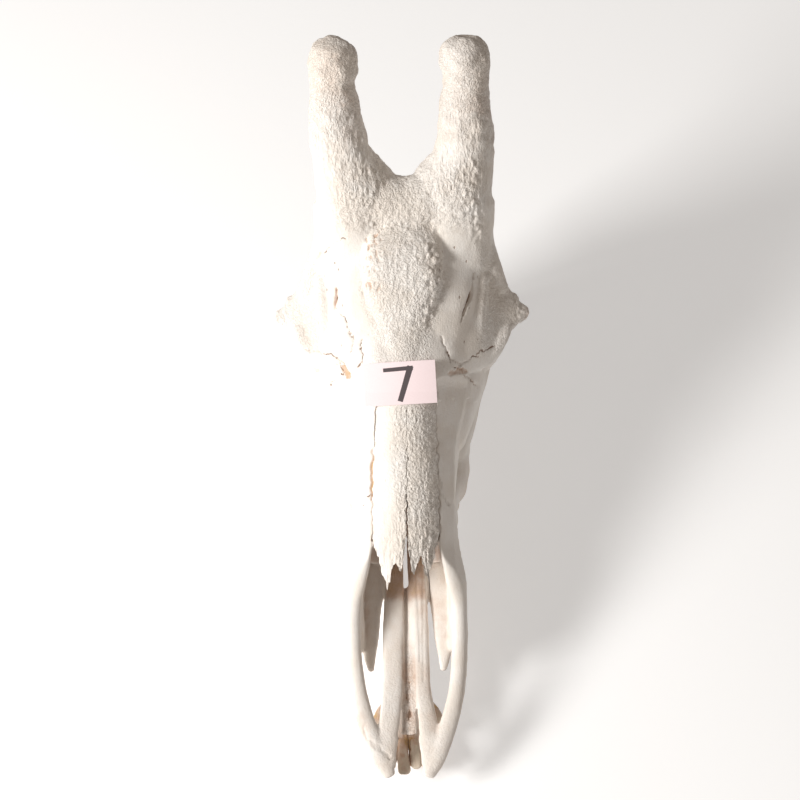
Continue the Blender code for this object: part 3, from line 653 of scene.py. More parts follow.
FIRST_TOOTH = {
    1: ((7.4, 46, -17.5), (8.0, 28, -12.5), (8.4, 13, -8.5), 5.8, 0),
    -1: ((7.2, 46, -17.5), (5.6, 24, -12), (4.4, 7, -7.5), 6.9, 0),
}
OTHER_FRONT_TEETH = [
    ((16.0, 48, -18.5), (18.2, 28, -13), (20.4, 13, -8.5), 6.2, 0),
    ((24.0, 52, -19.5), (27.3, 36, -14), (30.0, 24, -9.5), 5.4, 0),
    ((21.0, 92, -26.5), (30.0, 74, -17), (35.5, 58, -10.5), 6.0, 3.4),
]


def front_tooth(root, neck, tip, half, notch, room=0.0):
    """A spade: rings along a curve from root to tip that widen and thin out, hollow underneath.

    Its edge falls back towards the corners by the square of the way across, and for a canine also in the
    middle, by a bell curve, which leaves two lobes.
    """
    line = through([root, neck, tip], 12)
    down = np.linspace(0, 1, len(line))
    along = unit(np.gradient(line, axis=0))
    side = unit(np.cross(along, UP))
    top = np.cross(side, along)
    wide = np.interp(down, [0, 0.4, 0.78, 0.97, 1], [5.0, 6.2, half, half * 0.98, half * 0.86]) + room
    deep = np.interp(down, [0, 0.5, 0.75, 0.96, 1], [4.3, 3.7, 3.0, 1.7, 1.0]) + room
    turn = circle(56)[None, :]
    c, d = np.cos(turn), np.sin(turn)
    hollow = 0.45 * rise(down, 0.5, 0.9)[:, None] * (d < 0) * (1 - c**2)
    back = (2.6 * c**4 + notch * bell(c, 0.12, 0.2)) * (rise(down, 0.62, 1.0) ** 2)[:, None]
    rings = line[:, None] + (wide[:, None] * c)[..., None] * side[:, None]
    rings = rings + (deep[:, None] * d * (1 - hollow))[..., None] * top[:, None]
    return wrapped(rings - back[..., None] * along[:, None])


def tooth_row(name, forms, sign, gum, seed, stained):
    """One object of several teeth, with wrinkled enamel, brown near the gum line and in the grooves."""
    points = np.concatenate([form[0] for form in forms])
    starts = np.cumsum([0] + [len(form[0]) for form in forms])
    faces = [[corner + start for corner in face] for form, start in zip(forms, starts) for face in form[1]]
    form = (points, faces) if sign > 0 else other_side((points, faces))
    teeth = made(name, form)
    spots, facing = points_of(teeth.data), normals_of(teeth.data)
    wrinkles = 0.22 * noise(spots, (2.2, 2.2, 5), seed) + 0.25 * noise(spots, 6, seed + 1)
    put_points(teeth.data, spots + facing * wrinkles[:, None])
    stain_and_shade = stained + 0.5 * rise(abs(spots[:, 2]), gum - 6, gum) + 0.35 * rise(wrinkles, 0.0, -0.3)
    marked(teeth.data, 0.1, 0.5, 6.0, stain_and_shade * (0.7 + 0.5 * noise(spots, 7, seed + 2)), 0.0)
    return teeth


enamel = bone_material("enamel", (0.80, 0.76, 0.68), (0.62, 0.52, 0.40), dull=0.5, depth=0.45)
for side, sign, seed in (("left", 1, 90), ("right", -1, 95)):
    upper = tooth_row(f"upper_teeth_{side}", [cheek_tooth(t, 1) for t in UPPER_TEETH], sign, 15, seed, 0.1)
    laid(upper, f"maxilla_{side}", enamel)
    lower = [cheek_tooth(t, -1) for t in LOWER_TEETH]
    lower = tooth_row(f"lower_teeth_{side}", lower, sign, 15, seed + 3, 0.1)
    laid(lower, f"mandible_{side}", enamel)
    nipping = [front_tooth(*t) for t in (FIRST_TOOTH[sign], *OTHER_FRONT_TEETH)]
    nipping = tooth_row(f"front_teeth_{side}", nipping, sign, 15, seed + 4, 0.12 if sign > 0 else 0.36)
    laid(nipping, f"mandible_{side}", enamel)


# Lower jaw. Two halves meet in a rough, stained seam behind the front teeth. Each has a slender bar, a
# deeper body that carries the cheek teeth, and a thin upright blade with the joint and its hook on top.

ASIDE = np.array([1.0, 0.0, 0.0])


# Each form of a bone is a grid of points: an oval profile carried along a smooth path, an egg, a ring or a
# flat blade. Forms are joined, given one even skin and smoothed until they flow into each other, and then
# the skin is moved in and out along its normals by noise and by carving.
def carried(rows, up=UP, sides=36, steps=7, dome=0.7):
    """An oval profile carried along a smooth path through the rows, with domed ends.

    A row is centre x, s, h, half width, half height, squareness and roll in degrees. The profile's point
    at angle a is side * width * c + top * height * d, where c and d are cos a and sin a with their sizes
    raised to 2 / squareness. At the ends the profile shrinks along a quarter circle of dome times its
    half size.
    """
    rows = [(*row, *(2.0, 0.0)[len(row) - 5 :]) for row in rows]
    line = through(rows, steps)
    along = unit(np.gradient(line[:, :3], axis=0))
    level = unit(np.cross(along, up))
    roll = np.radians(line[:, 6:7])
    side = level * np.cos(roll) + np.cross(level, along) * np.sin(roll)
    top = np.cross(side, along)
    ends = np.radians([20, 38, 55, 70, 82]) if dome else np.zeros(0)
    at = np.concatenate([np.zeros(len(ends), int), np.arange(len(line)), np.full(len(ends), len(line) - 1)])
    way = np.concatenate([-np.ones(len(ends)), np.zeros(len(line)), np.ones(len(ends))])
    slope = np.concatenate([ends[::-1], np.zeros(len(line)), ends])
    width, height, power = line[at, 3, None], line[at, 4, None], line[at, 5, None]
    shrink = np.cos(slope)[:, None]
    reach = way * dome * np.minimum(line[at, 3], line[at, 4]) * np.sin(slope)
    turn = circle(sides)[None, :]
    x = bulged(np.cos(turn), 2 / power) * width * shrink
    z = bulged(np.sin(turn), 2 / power) * height * shrink
    middle = line[at, :3] + along[at] * reach[:, None]
    rings = middle[:, None] + x[..., None] * side[at][:, None] + z[..., None] * top[at][:, None]
    return wrapped(rings)


def egg(x, s, h, wide, deep, high, axis=None):
    """An ellipsoid: rings of latitude, each a circle, stretched and then turned so that wide lies on axis."""
    latitude = np.radians(np.linspace(-86, 86, 25))[:, None]
    turn = circle(40)[None, :]
    rings = np.stack(
        [
            np.broadcast_to(np.sin(latitude) * wide, (25, 40)),
            np.cos(latitude) * np.cos(turn) * deep,
            np.cos(latitude) * np.sin(turn) * high,
        ],
        -1,
    )
    if axis is not None:
        turned = np.array(Vector((1, 0, 0)).rotation_difference(Vector(axis)).to_matrix())
        rings = rings @ turned.T
    return wrapped(rings + np.array([x, s, h]))


def blade(outline, tilt, lean, thick, steps=5):
    """A flat bone: a smooth closed outline in s and h, at x = tilt + lean * h, moved by its thickness."""
    edge = through(outline, steps, closed=True)
    middle = np.stack([tilt + lean * edge[:, 1], edge[:, 0], edge[:, 1]], -1)
    offsets = np.array([-0.5, 0.5])[:, None, None] * thick * ASIDE
    return wrapped(middle[None] + offsets)


def block(point, normal, across, size=900.0):
    """A large cube that starts at a plane and lies on the side that normal points to, for cutting."""
    n = unit(np.array(normal, float))
    a = unit(np.cross(n, across))
    b = np.cross(n, a)
    corners = np.array([[-1, -1], [1, -1], [1, 1], [-1, 1]], float) * size
    flat = corners[:, :1] * a + corners[:, 1:] * b
    return wrapped(np.array(point, float) + flat[None] + np.array([0.0, 2 * size])[:, None, None] * n)


def largest(thing):
    """Keeps the largest connected surface: every point takes the lowest number among its neighbours."""
    mesh = thing.data
    a, b = read(mesh.edges, "vertices", 2, np.int32).T
    label = np.arange(len(mesh.vertices))
    while True:
        low = label.copy()
        np.minimum.at(low, a, label[b])
        np.minimum.at(low, b, label[a])
        low = low[low]
        if np.array_equal(low, label):
            break
        label = low
    names, counts = np.unique(label, return_counts=True)
    if len(names) > 1:
        stray = np.flatnonzero(label != names[counts.argmax()])
        built = bmesh.new()
        built.from_mesh(mesh)
        built.verts.ensure_lookup_table()
        bmesh.ops.delete(built, geom=[built.verts[i] for i in stray], context="VERTS")
        built.to_mesh(mesh)
        built.free()
    return thing


def skinned(name, forms, steps, grain, rounds):
    """Joins forms, gives them one even skin of small quads, and smooths it for a number of rounds."""

    def finish(thing):
        """An even skin of the grain's size over the forms, then rounds of smoothing."""
        skin = thing.modifiers.new("skin", "REMESH")
        skin.mode = "VOXEL"
        skin.voxel_size = grain
        soften = thing.modifiers.new("soften", "SMOOTH")
        soften.factor = 0.5
        soften.iterations = rounds

    return largest(combined(made(name, forms[0]), [("UNION", forms[1:]), *steps], finish))


def from_line(x, u, line):
    """Distance of each point x, u to a broken line: the least distance to any of its stretches."""
    spot = np.stack([x, u], -1)
    best = np.full(len(spot), 1e9)
    for a, b in zip(line[:-1], line[1:]):
        a, b = np.array(a, float), np.array(b, float)
        t = np.clip(((spot - a) @ (b - a)) / ((b - a) @ (b - a)), 0, 1)
        best = np.minimum(best, np.linalg.norm(spot - a - t[:, None] * (b - a), axis=1))
    return best


def mended(mesh):
    """Gives points that a cut has added the mean value of their neighbours that were there before it."""
    count = len(mesh.vertices)
    a, b = read(mesh.edges, "vertices", 2, np.int32).T
    sound = read(mesh.attributes["sound"].data, "value") > 0.999
    for name in MARKS:
        value = read(mesh.attributes[name].data, "value")
        known = sound.copy()
        for _ in range(4):
            total = np.bincount(a, value[b] * known[b], count) + np.bincount(b, value[a] * known[a], count)
            share = np.bincount(a, known[b], count) + np.bincount(b, known[a], count)
            fill = ~known & (share > 0)
            value[fill] = total[fill] / share[fill]
            known |= fill
        mesh.attributes[name].data.foreach_set("value", value.astype(np.float32))


def thinned(thing, triangles):
    """Mends the marks of a piece that has been cut, and brings it down to a number of triangles."""
    largest(thing)
    mended(thing.data)
    thing.data.attributes.remove(thing.data.attributes["sound"])
    thing.data.calc_loop_triangles()
    thin = thing.modifiers.new("thin", "DECIMATE")
    thin.ratio = min(1.0, triangles / len(thing.data.loop_triangles))
    return applied(thing)


def jaw_forms():
    """The left half: profiles along bar, shelf, joint and chin, a flat blade, and an egg at its angle."""
    body = carried([
        (14, 42, -22, 18, 6), (12, 70, -28, 14, 9), (11, 108, -39.5, 12.5, 16.5),
        (11, 140, -39, 12, 15.5), (11.5, 175, -39, 11.5, 17), (13, 206, -39, 9.5, 19),
        (22.5, 229, -40, 10, 22), (34, 252, -41, 10.5, 26), (42, 290, -45, 11, 30),
        (46, 330, -49, 12, 34), (50, 370, -52, 12, 36), (55, 408, -56, 11, 37), (60, 445, -57, 7, 42),
    ])
    upright = blade([
        (412, -22), (440, 2), (462, 42), (484, 82), (502, 118), (514, 136), (524, 138), (530, 122),
        (534, 98), (546, 80), (560, 84), (574, 80), (577, 55), (573, 18), (580, -22), (579, -55),
        (567, -88), (546, -105), (515, -111), (475, -106), (440, -100), (412, -94), (400, -60),
    ], 64, 0.05, 10)
    shelf = carried([
        (5, 110, -34, 9, 9), (6, 150, -33, 9, 8), (7, 180, -33, 9, 8), (8, 206, -33, 9, 8),
        (10, 222, -34, 8, 7),
    ])
    joint = carried([(54, 562, 84, 8, 6), (70, 562, 86, 9, 7), (84, 562, 85, 8, 6)])
    gum = carried([(4, 46, -22, 6, 5), (3.5, 30, -19, 4, 3.4), (3, 19, -15.5, 3, 2.4)])
    return [body, upright, shelf, joint, gum, egg(60, 535, -85, 7, 30, 20)]


def jaw_relief(points, normals, seed):
    """How far the jaw's skin stands out or in: noise, root swellings, muscle ridges, holes for nerves."""
    x, s, h = points.T
    outer = rise(normals[:, 0], 0.2, 0.6)
    inner = rise(normals[:, 0], -0.2, -0.6)
    out = 0.45 * noise(points, 28, seed) + 0.25 * noise(points, 10, seed + 1)
    out += 0.12 * noise(points, 4, seed + 2)
    roots = rise(h, -78, -40) * rise(h, -8, -20) * rise(s, 240, 252) * rise(s, 412, 398) * outer
    out += roots * 1.0 * np.cos((s - 324) * 2 * math.pi / 14.6) * rise(s, 300, 312)
    fan = np.arctan2(h + 10, s - 462)
    reach = np.hypot(s - 462, h + 10)
    ridges = abs(noise(chart(fan * 45, reach / 9), 5, seed + 3))
    muscle = rise(reach, 50, 78) * rise(s, 455, 490) * rise(h, 10, -30)
    out += muscle * (1.5 * ridges * outer + 1.2 * ridges * inner - 0.35)
    out -= 1.8 * bell(s, 520, 26) * bell(h, 8, 40) * outer
    mental = np.hypot((s - 112) / 1.7, h + 36)
    out -= 6.0 * rise(mental, 4.2, 1.2) * outer
    nerve = np.hypot((s - 508) / 1.3, (h - 2) / 1.3)
    out -= 4.5 * rise(nerve, 6.5, 2.0) * inner
    seam = rise(x, 7, 2) * rise(s, 226, 210)
    lumps = 0.9 * knobs(points, (3.4, 5, 3.4), seed + 4)
    out += seam * (lumps + 0.5 * noise(points, (2.4, 9, 2.4), seed + 5) - 0.3)
    edge = rise(s, 430, 470) * rise(h, -88, -104) + rise(s, 560, 574) * rise(h, 40, 0)
    return out + edge * (0.9 * knobs(points, 5, seed + 6) - 0.25)


for side, sign, seed in (("left", 1, 110), ("right", -1, 130)):
    sockets = [front_tooth(*t, 0.35) for t in (FIRST_TOOTH[sign], *OTHER_FRONT_TEETH)]
    sockets += [cheek_tooth(t, -1, 0.5) for t in LOWER_TEETH]
    jaw = skinned(f"mandible_{side}_bone", jaw_forms(), [], 1.3, 10)
    body, facing = points_of(jaw.data), normals_of(jaw.data)
    moved = jaw_relief(body, facing, seed)
    x, s, h = body.T
    seam = rise(x, 8, 3) * rise(s, 226, 212)
    stain_and_shade = 0.4 * seam + 0.3 * rise(h, -28, -16) * rise(s, 236, 248) * rise(s, 420, 405) + 0.12
    stain_and_shade += 0.5 * rise(np.hypot(s - 112, h + 36), 7, 3) + 0.35 * rise(h, -92, -106) * rise(s, 430, 470)
    stain_and_shade += 0.45 * rise(x, 14, 10) * rise(s, 52, 46) * rise(s, 33, 38)
    stain_and_shade += 0.12 * rise(s, 75, 50) + 0.12 * rise(noise(body, 30, seed + 7), 0.1, 0.7)
    rough = 0.15 + 0.7 * seam + 0.4 * rise(s, 470, 520) * rise(h, 0, -60)
    split = from_line(x, s, [(4, 92), (2.5, 120), (4.5, 150)]) + 0.8 * noise(body, 4, seed + 8)
    marked(jaw.data, rough, 0.35, np.where(facing[:, 2] > 0.3, np.minimum(split, 6), 6), stain_and_shade, 0.2)
    store(jaw.data, "sound", np.ones(len(body)))
    put_points(jaw.data, body + facing * moved[:, None])
    combined(jaw, [("DIFFERENCE", [*sockets, block((0.15, 0, -20), (-1, 0, 0.06 * sign), UP)])])
    thinned(jaw, 110000)
    if sign < 0:
        jaw.data.transform(Matrix.Scale(-1, 4, (1, 0, 0)))
        jaw.data.flip_normals()
    laid(jaw, f"mandible_{side}", bone)


# Upper skull. One mass of old bone: braincase, forehead, cheeks and muzzle with the horn-like ossicones
# grown onto it. It is a smooth body, pierced by the nose and the eye sockets. Its skin is then worked with
# bark, nodules, cracks and seams, each in its region, and given the marks that its material reads.

BACK = np.array([0.0, 1.0, 0.0])


def on_face(rows):
    """Rows that start with x, u, v, as rows that start with x, s, h."""
    return [(*face(*row[:3]), *row[3:]) for row in rows]


def raised(rows, **how):
    """A profile carried through rows given on the face, its height standing out of the face."""
    return carried(on_face(rows), up=OUT_OF_FACE, **how)


def hoop(centre, axis, radius, radial, axial):
    """A ring: an oval profile carried round a circle about axis."""
    axis = unit(np.array(axis, float))
    first = unit(np.cross(axis, UP))
    second = np.cross(axis, first)
    a, b = circle(72)[:, None, None], circle(20)[None, :, None]
    out = first * np.cos(a) + second * np.sin(a)
    return wrapped(np.array(centre) + out * (radius + radial * np.cos(b)) + axis * axial * np.sin(b), True)


def both(forms):
    """The forms of the left side, and their twins on the right."""
    return [*forms, *[other_side(form) for form in forms]]


ORBIT = (98.0, 456.0, 119.0)
ORBIT_AXIS = np.array([0.885, -0.241, -0.398])
ORBIT_RADIUS = 32.0


def skull_forms():
    """The braincase, forehead and muzzle, and on each side shelf, cheek, arch, ossicone, teeth edge."""
    braincase = carried([
        (0, 430, 112, 48, 60, 2.4), (0, 480, 132, 54, 70, 2.4), (0, 530, 140, 57, 76, 2.4),
        (0, 570, 140, 60, 74, 2.4), (0, 598, 136, 62, 62, 2.4),
    ], dome=0.15, sides=72)
    roof = raised([
        (0, 385, -29, 44, 28, 2.2), (0, 430, -34, 62, 36, 2.2), (0, 470, -35, 74, 38, 2.2),
        (0, 520, -36, 82, 40, 2.3), (0, 570, -40, 86, 42, 2.4), (0, 608, -48, 80, 40, 2.4),
    ], dome=0.65, sides=72)
    fillet = raised([
        (-31.5, 318, -8, 4, 6), (-31, 345, -7, 6, 7), (-30.5, 375, -6.5, 7, 7.5), (-31, 405, -7, 7, 7),
    ])
    ridge = raised([(0, 410, -7, 21, 14), (0, 440, -6, 24, 15), (0, 485, -6, 32, 16)])
    saddle = raised([
        (-46, 616, -22, 32, 34, 2.3), (-22, 606, -20, 33, 34, 2.3), (0, 602, -20, 33, 33, 2.3),
        (22, 606, -20, 33, 34, 2.3), (46, 616, -22, 32, 34, 2.3),
    ])
    muzzle = carried([
        (0, 226, 60, 47, 44, 2.3), (0, 260, 69, 52, 53, 2.3), (0, 300, 80, 55, 62, 2.3),
        (0, 340, 91, 61, 70, 2.3), (0, 380, 102, 70, 77, 2.3), (0, 420, 114, 76, 82, 2.3),
        (0, 455, 126, 76, 84, 2.3),
    ], dome=0.2, sides=72)
    boss = raised([
        (0, 470, -19, 27, 24, 2.2), (0, 494, -15, 37, 28, 2.6), (0, 520, -13, 42.5, 31, 3.2),
        (0, 550, -13, 43, 31, 3.2), (0, 576, -18, 42, 26, 2.8),
    ], sides=60)
    occiput = carried(
        [(0, 580, 136, 56, 58, 2.4), (0, 596, 134, 64, 60, 2.2), (0, 604, 132, 60, 56, 2.2)], dome=0.1
    )
    base = carried([(0, 500, 78, 22, 12), (0, 560, 74, 25, 13), (0, 618, 72, 20, 13)])
    neck = egg(0, 604, 100, 42, 15, 34)
    crest = egg(0, 607, 176, 12, 9, 24)
    shelf = raised([
        (50, 491, -37, 70, 26, 2.5), (70, 491, -43.5, 66, 20, 2.5), (85, 491, -50, 61, 15, 2.4),
        (95, 491, -55, 56, 12, 2.4), (104, 491, -59, 45, 10, 2.3), (113, 491, -62.5, 30, 9, 2.2),
        (124, 491, -67, 14, 8, 2.0), (134, 491, -69, 7, 6, 2.0),
    ], dome=0.5, sides=60)
    cheek = carried(
        [(44, 350, 96, 24, 34), (56, 385, 104, 24, 36), (68, 415, 112, 22, 38), (74, 430, 118, 16, 38)]
    )
    rim = hoop(ORBIT, ORBIT_AXIS, ORBIT_RADIUS + 3, 5, 6)
    socket = egg(*(np.array(ORBIT) - unit(ORBIT_AXIS) * 24), 29, 40, 40, ORBIT_AXIS)
    arch = carried([
        (52, 345, 56, 15, 18), (62, 376, 61, 17, 21), (75, 408, 66, 11.5, 20), (86, 438, 70, 9, 17),
        (93, 468, 77, 7, 13), (96, 500, 88, 6, 11), (92, 535, 99, 6, 10), (79, 560, 106, 10, 10),
        (62, 574, 110, 12, 12),
    ])
    bar = carried([
        (119, 483, 154, 8, 10), (110, 493, 130, 6, 9), (102, 498, 106, 6, 9), (96, 500, 88, 6, 11),
    ], up=BACK)
    ossicone = raised([
        (48, 545, -40, 46.5, 34), (49, 590, -28, 47, 38), (50.5, 618, -17, 46, 37),
        (58, 638, -10, 37.5, 34), (62.5, 650, -6, 33, 31.5), (66.6, 671, 1, 30, 28.5),
        (68, 692, 8, 28, 26.5), (69.2, 713, 15, 25.2, 25), (69.8, 732, 21, 23.6, 24.5),
        (68.8, 745, 26, 26, 26), (68, 756, 28.5, 25.5, 25.5),
    ], dome=0.78, sides=60)
    tooth_edge = carried([
        (39, 240, 32, 9, 17), (44, 262, 34, 11, 20), (46.5, 290, 37, 11.5, 23), (49, 304, 38, 12, 24),
        (54, 318, 38, 15, 24), (55, 334, 39, 16, 25), (56, 370, 42, 17, 28), (56, 405, 42, 16, 26),
        (52, 424, 44, 11, 22),
    ])
    nose_wall = carried([
        (50, 136, 21, 4.5, 8), (51, 152, 26, 6, 13), (52, 190, 37, 6.5, 25), (50.5, 221, 51, 7, 38),
        (48, 240, 58, 8, 44), (46, 262, 65, 9, 48), (43, 292, 76, 10, 50),
    ])
    shoulder = raised([
        (42.5, 290, -16, 11, 7.5, 2.3, -50), (42.8, 312, -16.5, 13, 9, 2.3, -50),
        (43.3, 340, -18.5, 14, 9.5, 2.3, -48), (45.5, 385, -21, 14.5, 9, 2.3, -45),
    ])
    nose_floor = carried([
        (38.5, 115, 14, 4, 3.5), (40, 134, 15, 8, 4.2), (38.5, 150, 16, 9, 4.5), (37, 190, 18, 12, 5.5),
        (28, 235, 22, 18, 8),
    ])
    back_crest = carried([
        (0, 604, 194, 8, 8), (24, 604, 191, 8, 8), (46, 600, 176, 8, 8), (60, 594, 150, 7, 8),
        (68, 586, 118, 6, 8),
    ])
    condyle = egg(24, 622, 86, 15, 21, 20)
    ear_bulb = egg(34, 558, 64, 11, 20, 15)
    ear_tube = carried([(48, 566, 94, 12, 12), (66, 572, 98, 9, 9), (74, 573, 100, 8, 8)])
    jaw_seat = egg(70, 560, 101, 21, 23, 11)
    process = carried(
        [(50, 598, 88, 16, 9), (53, 597, 55, 11, 7), (51, 595, 30, 7, 5.5), (49, 593, 14, 4, 4)], up=BACK
    )
    plate = blade([
        (412, 22), (440, 26), (465, 20), (482, 30), (500, 62), (505, 84), (470, 90), (430, 84), (405, 70),
    ], 22.8, 0.06, 7)
    brow_edge = raised([(88, 440, -52.5, 10, 9), (98, 456, -53, 11, 9), (107, 473, -56.5, 11, 9)])
    foot_edge = raised(
        [(80, 590, -31, 14, 12), (85, 562, -37, 13, 13), (92, 537, -45, 14, 12), (101, 514, -54, 14, 9)]
    )
    brow_step = raised([(79, 470, -36, 9, 8), (81, 495, -34.5, 9, 8.5), (83, 528, -34, 10, 9)])
    sides = [foot_edge, brow_step, shelf, brow_edge, cheek, rim, socket, arch, bar, ossicone, tooth_edge]
    sides += [nose_wall, shoulder, nose_floor, back_crest, condyle, ear_bulb, ear_tube, jaw_seat, process]
    sides += [plate]
    return [muzzle, braincase, roof, fillet, ridge, saddle, boss, occiput, base, neck, crest, *both(sides)]


def cheek_slope():
    """What is cut away above a plane that falls off at 43 degrees from the left nasal's edge.

    It is steeper further out, and lifts clear of the bone over the rails in front and at the forehead.
    """
    x = np.linspace(33.0, 82.0, 50)[:, None]
    u = np.linspace(196.0, 446.0, 126)[None, :]
    x, u = x + 0 * u, u + 0 * x
    low = nasal_top(NASAL_HALF, u) + 0.2 - 0.93 * (x - NASAL_HALF)
    low = low + 24.0 * rise(u, 252, 196) ** 1.3 + 30.0 * rise(u, 408, 446)
    low = low - 0.6 * np.maximum(0.0, x - 52.0 - 0.3 * np.maximum(0.0, u - 345.0))
    return slab(x, u, low, low + 70.0)


NOSE_ROWS = [
    (0, 190, 62, 42, 36, 2.4), (0, 235, 72, 39, 42, 2.4), (0, 275, 84, 34, 44, 2.4),
    (0, 315, 98, 25, 36, 2.2), (0, 340, 106, 14, 20, 2.0),
]


def skull_hollows():
    """The nose, the slit of the palate, inner nostrils, hole for the spinal cord, sockets and pits."""
    eye = np.array(ORBIT) + unit(ORBIT_AXIS) * 4
    return [
        carried(NOSE_ROWS, sides=60),
        carried([(0, 180, 20, 4.5, 30), (0, 236, 24, 4, 30), (0, 262, 26, 2, 30)], sides=24),
        carried([(0, 400, 30, 12, 8), (0, 440, 42, 19, 20), (0, 480, 40, 21, 26), (0, 520, 30, 22, 28)]),
        egg(0, 624, 106, 15, 36, 15),
        carried([(0, 215, 8, 20, 10), (0, 260, 12, 27, 11), (0, 330, 14, 33, 12), (0, 415, 14, 35, 12)]),
        *both([egg(*eye, 52, ORBIT_RADIUS, ORBIT_RADIUS, ORBIT_AXIS), egg(78, 530, 132, 20, 30, 33)]),
    ]


def premaxilla_forms(extra=0.0):
    """The rail beside the nose, the plate at the tip, the bar beside the palate slit and its inner edge.

    Their half sizes can be given some extra, for an envelope that cuts them out of the skull.
    """
    rail = [
        (20.5, 5, 1, 7.5, 5, 2.0, 0), (29.5, 23, 1, 10, 5.5, 2.0, 0), (37.5, 42, -1, 10, 6, 2.0, 0),
        (44.5, 62, -5, 9.5, 6, 2.0, 0), (50, 83, -11, 9, 6.5, 2.0, 0), (53.5, 104, -17, 8.5, 7, 2.0, -5),
        (55.5, 125, -21, 8.5, 7, 2.0, -10), (56.5, 150, -23, 8.5, 8, 2.0, -15),
        (55.5, 188, -22, 10, 8, 2.0, -25), (52.5, 212, -18, 13.5, 7.5, 2.2, -33),
        (49.5, 235, -17.5, 16.5, 7, 2.4, -43), (47, 258, -16, 15, 6.5, 2.4, -49),
        (44.5, 276, -14, 11, 6, 2.3, -50), (42.5, 292, -12.5, 6, 5.5, 2.2, -50),
    ]
    plate = [(23, 14, 1, 10, 4.5), (26, 28, 0, 14, 5), (26, 44, -2, 16, 5)]
    bar = [
        (22.5, 42, 17, 11, 5, 2.4), (19.5, 62, 18.5, 10.3, 5, 2.6), (16.3, 94, 19, 9.7, 4.8, 2.8),
        (15.3, 135, 20, 9.8, 5, 2.8), (14.2, 165, 22, 10.2, 5, 2.8), (12.8, 198, 25, 10.2, 5.5, 2.6),
        (11.5, 235, 29, 9.5, 5.5, 2.6), (11, 258, 32, 9, 5, 2.4),
    ]
    flange = [(4.6, 45, 10, 5, 2.6), (4, 90, 13.5, 4.5, 2.8), (4, 140, 16, 4.5, 3), (5, 204, 21.5, 5, 3)]

    def swell(rows):
        """The profiles' half widths and half heights, each with the extra added."""
        return [(*row[:3], row[3] + extra, row[4] + extra, *row[5:]) for row in rows]

    return [
        raised(swell(rail)),
        raised(swell(plate), dome=0.9),
        carried(swell(bar)),
        carried(swell(flange)),
    ]


# Lines on the face, as x and u. They follow the slits, cracks and seams between its bones.
SLIT_RIGHT = [(-70, 518), (-70.3, 503), (-72.5, 495)]
SLIT_LEFT = [(75.5, 531), (73.5, 518), (71.5, 505), (66, 491), (62.5, 480)]
CRACKS = [
    [(-70, 495), (-63, 487), (-58, 480), (-55, 470), (-50, 463), (-52, 456), (-55, 449)],
    [(42, 463), (42.5, 457), (47.5, 448), (52.5, 438)],
    [(-41, 462), (-44, 450), (-42, 441), (-47, 433)],
    [(-64, 440), (-60, 432), (-56, 424), (-51, 420)],
    [(57, 436), (66, 424), (73, 418), (77, 411)],
    [(-64, 428), (-72, 420), (-78, 417)],
    [(1.5, 96), (0, 84), (2.5, 70), (2, 60)],
]
SEAMS = [
    [(-104, 455), (-98, 451), (-91, 452), (-84, 449), (-76, 448), (-70, 444), (-66, 437), (-64, 428)],
    [(98, 455), (92, 451), (86, 449), (80, 447), (76, 442), (70, 438), (63, 434), (56, 430)],
    [(-82, 556), (-76, 562), (-70, 566), (-62, 567)],
    [(-34, 296.5), (-40, 296)],
    [(-43, 288), (-49, 284)],
]
FOLDS = [[(-46, 56), (-44, 44), (-29, 34), (-20, 22)], [(37.5, 314), (38.5, 301), (47, 288)]]
PATCHES = [[(-63, 431), (-59, 425)], [(49, 424), (56, 428), (66, 428)]]


def wandering(points, lines, seed):
    """Distance to the nearest line on the face, with noise on x and u so that the lines run ragged."""
    x = points[:, 0] + 1.3 * noise(points, 3.2, seed) + 1.5 * noise(points, 9, seed + 1)
    u = points @ ALONG_FACE + 1.3 * noise(points, 3.2, seed + 2) + 1.5 * noise(points, 9, seed + 3)
    return np.min([from_line(x, u, line) for line in lines], axis=0)


def slit_edge(points):
    """Distance outside the two slits beside the forehead's ridge; they are widest halfway down."""
    x, u = points[:, 0], points @ ALONG_FACE
    right = from_line(x, u, SLIT_RIGHT) + 0.2 - 1.0 * bell(u, 506, 7)
    left = from_line(x, u, SLIT_LEFT) + 0.3 - 1.9 * bell(u, 506, 10) - 0.6 * bell(u, 490, 8)
    return np.minimum(right, left) + 0.5 * noise(points, 4, 21)


def roof_gap(x, u):
    """How far outside the nearest nasal's edge a point is, and how wide the gap is there."""
    gap = np.where(x > 0, x - nasal_edges(u, 1)[1], -x - nasal_edges(u, -1)[1])
    gap = np.where((u > 250) & (u < 425), gap, 99.0)
    flat = chart(np.sign(x), u)
    wide = 0.15 + 0.45 * rise(noise(flat, 14, 63), -0.1, 0.6) + 2.3 * (x < 0) * bell(u, 320, 20) ** 0.5
    return gap, wide


def in_row_body(points, rows, grow):
    """How deep points lie in a body given by rows along s: 1 inside, 0 outside, by its oval's equation."""
    table = np.array([(*row, *(2.0,) * (6 - len(row))) for row in rows])
    s = points[:, 1]
    middle, wide, high = (np.interp(s, table[:, 1], table[:, k]) for k in (2, 3, 4))
    away = np.sqrt((points[:, 0] / (wide + grow)) ** 2 + ((points[:, 2] - middle) / (high + grow)) ** 2)
    first, last = table[0, 1], table[-1, 1]
    return rise(away, 1.0, 0.9) * rise(s, first - 6, first + 6) * rise(s, last + 20, last)


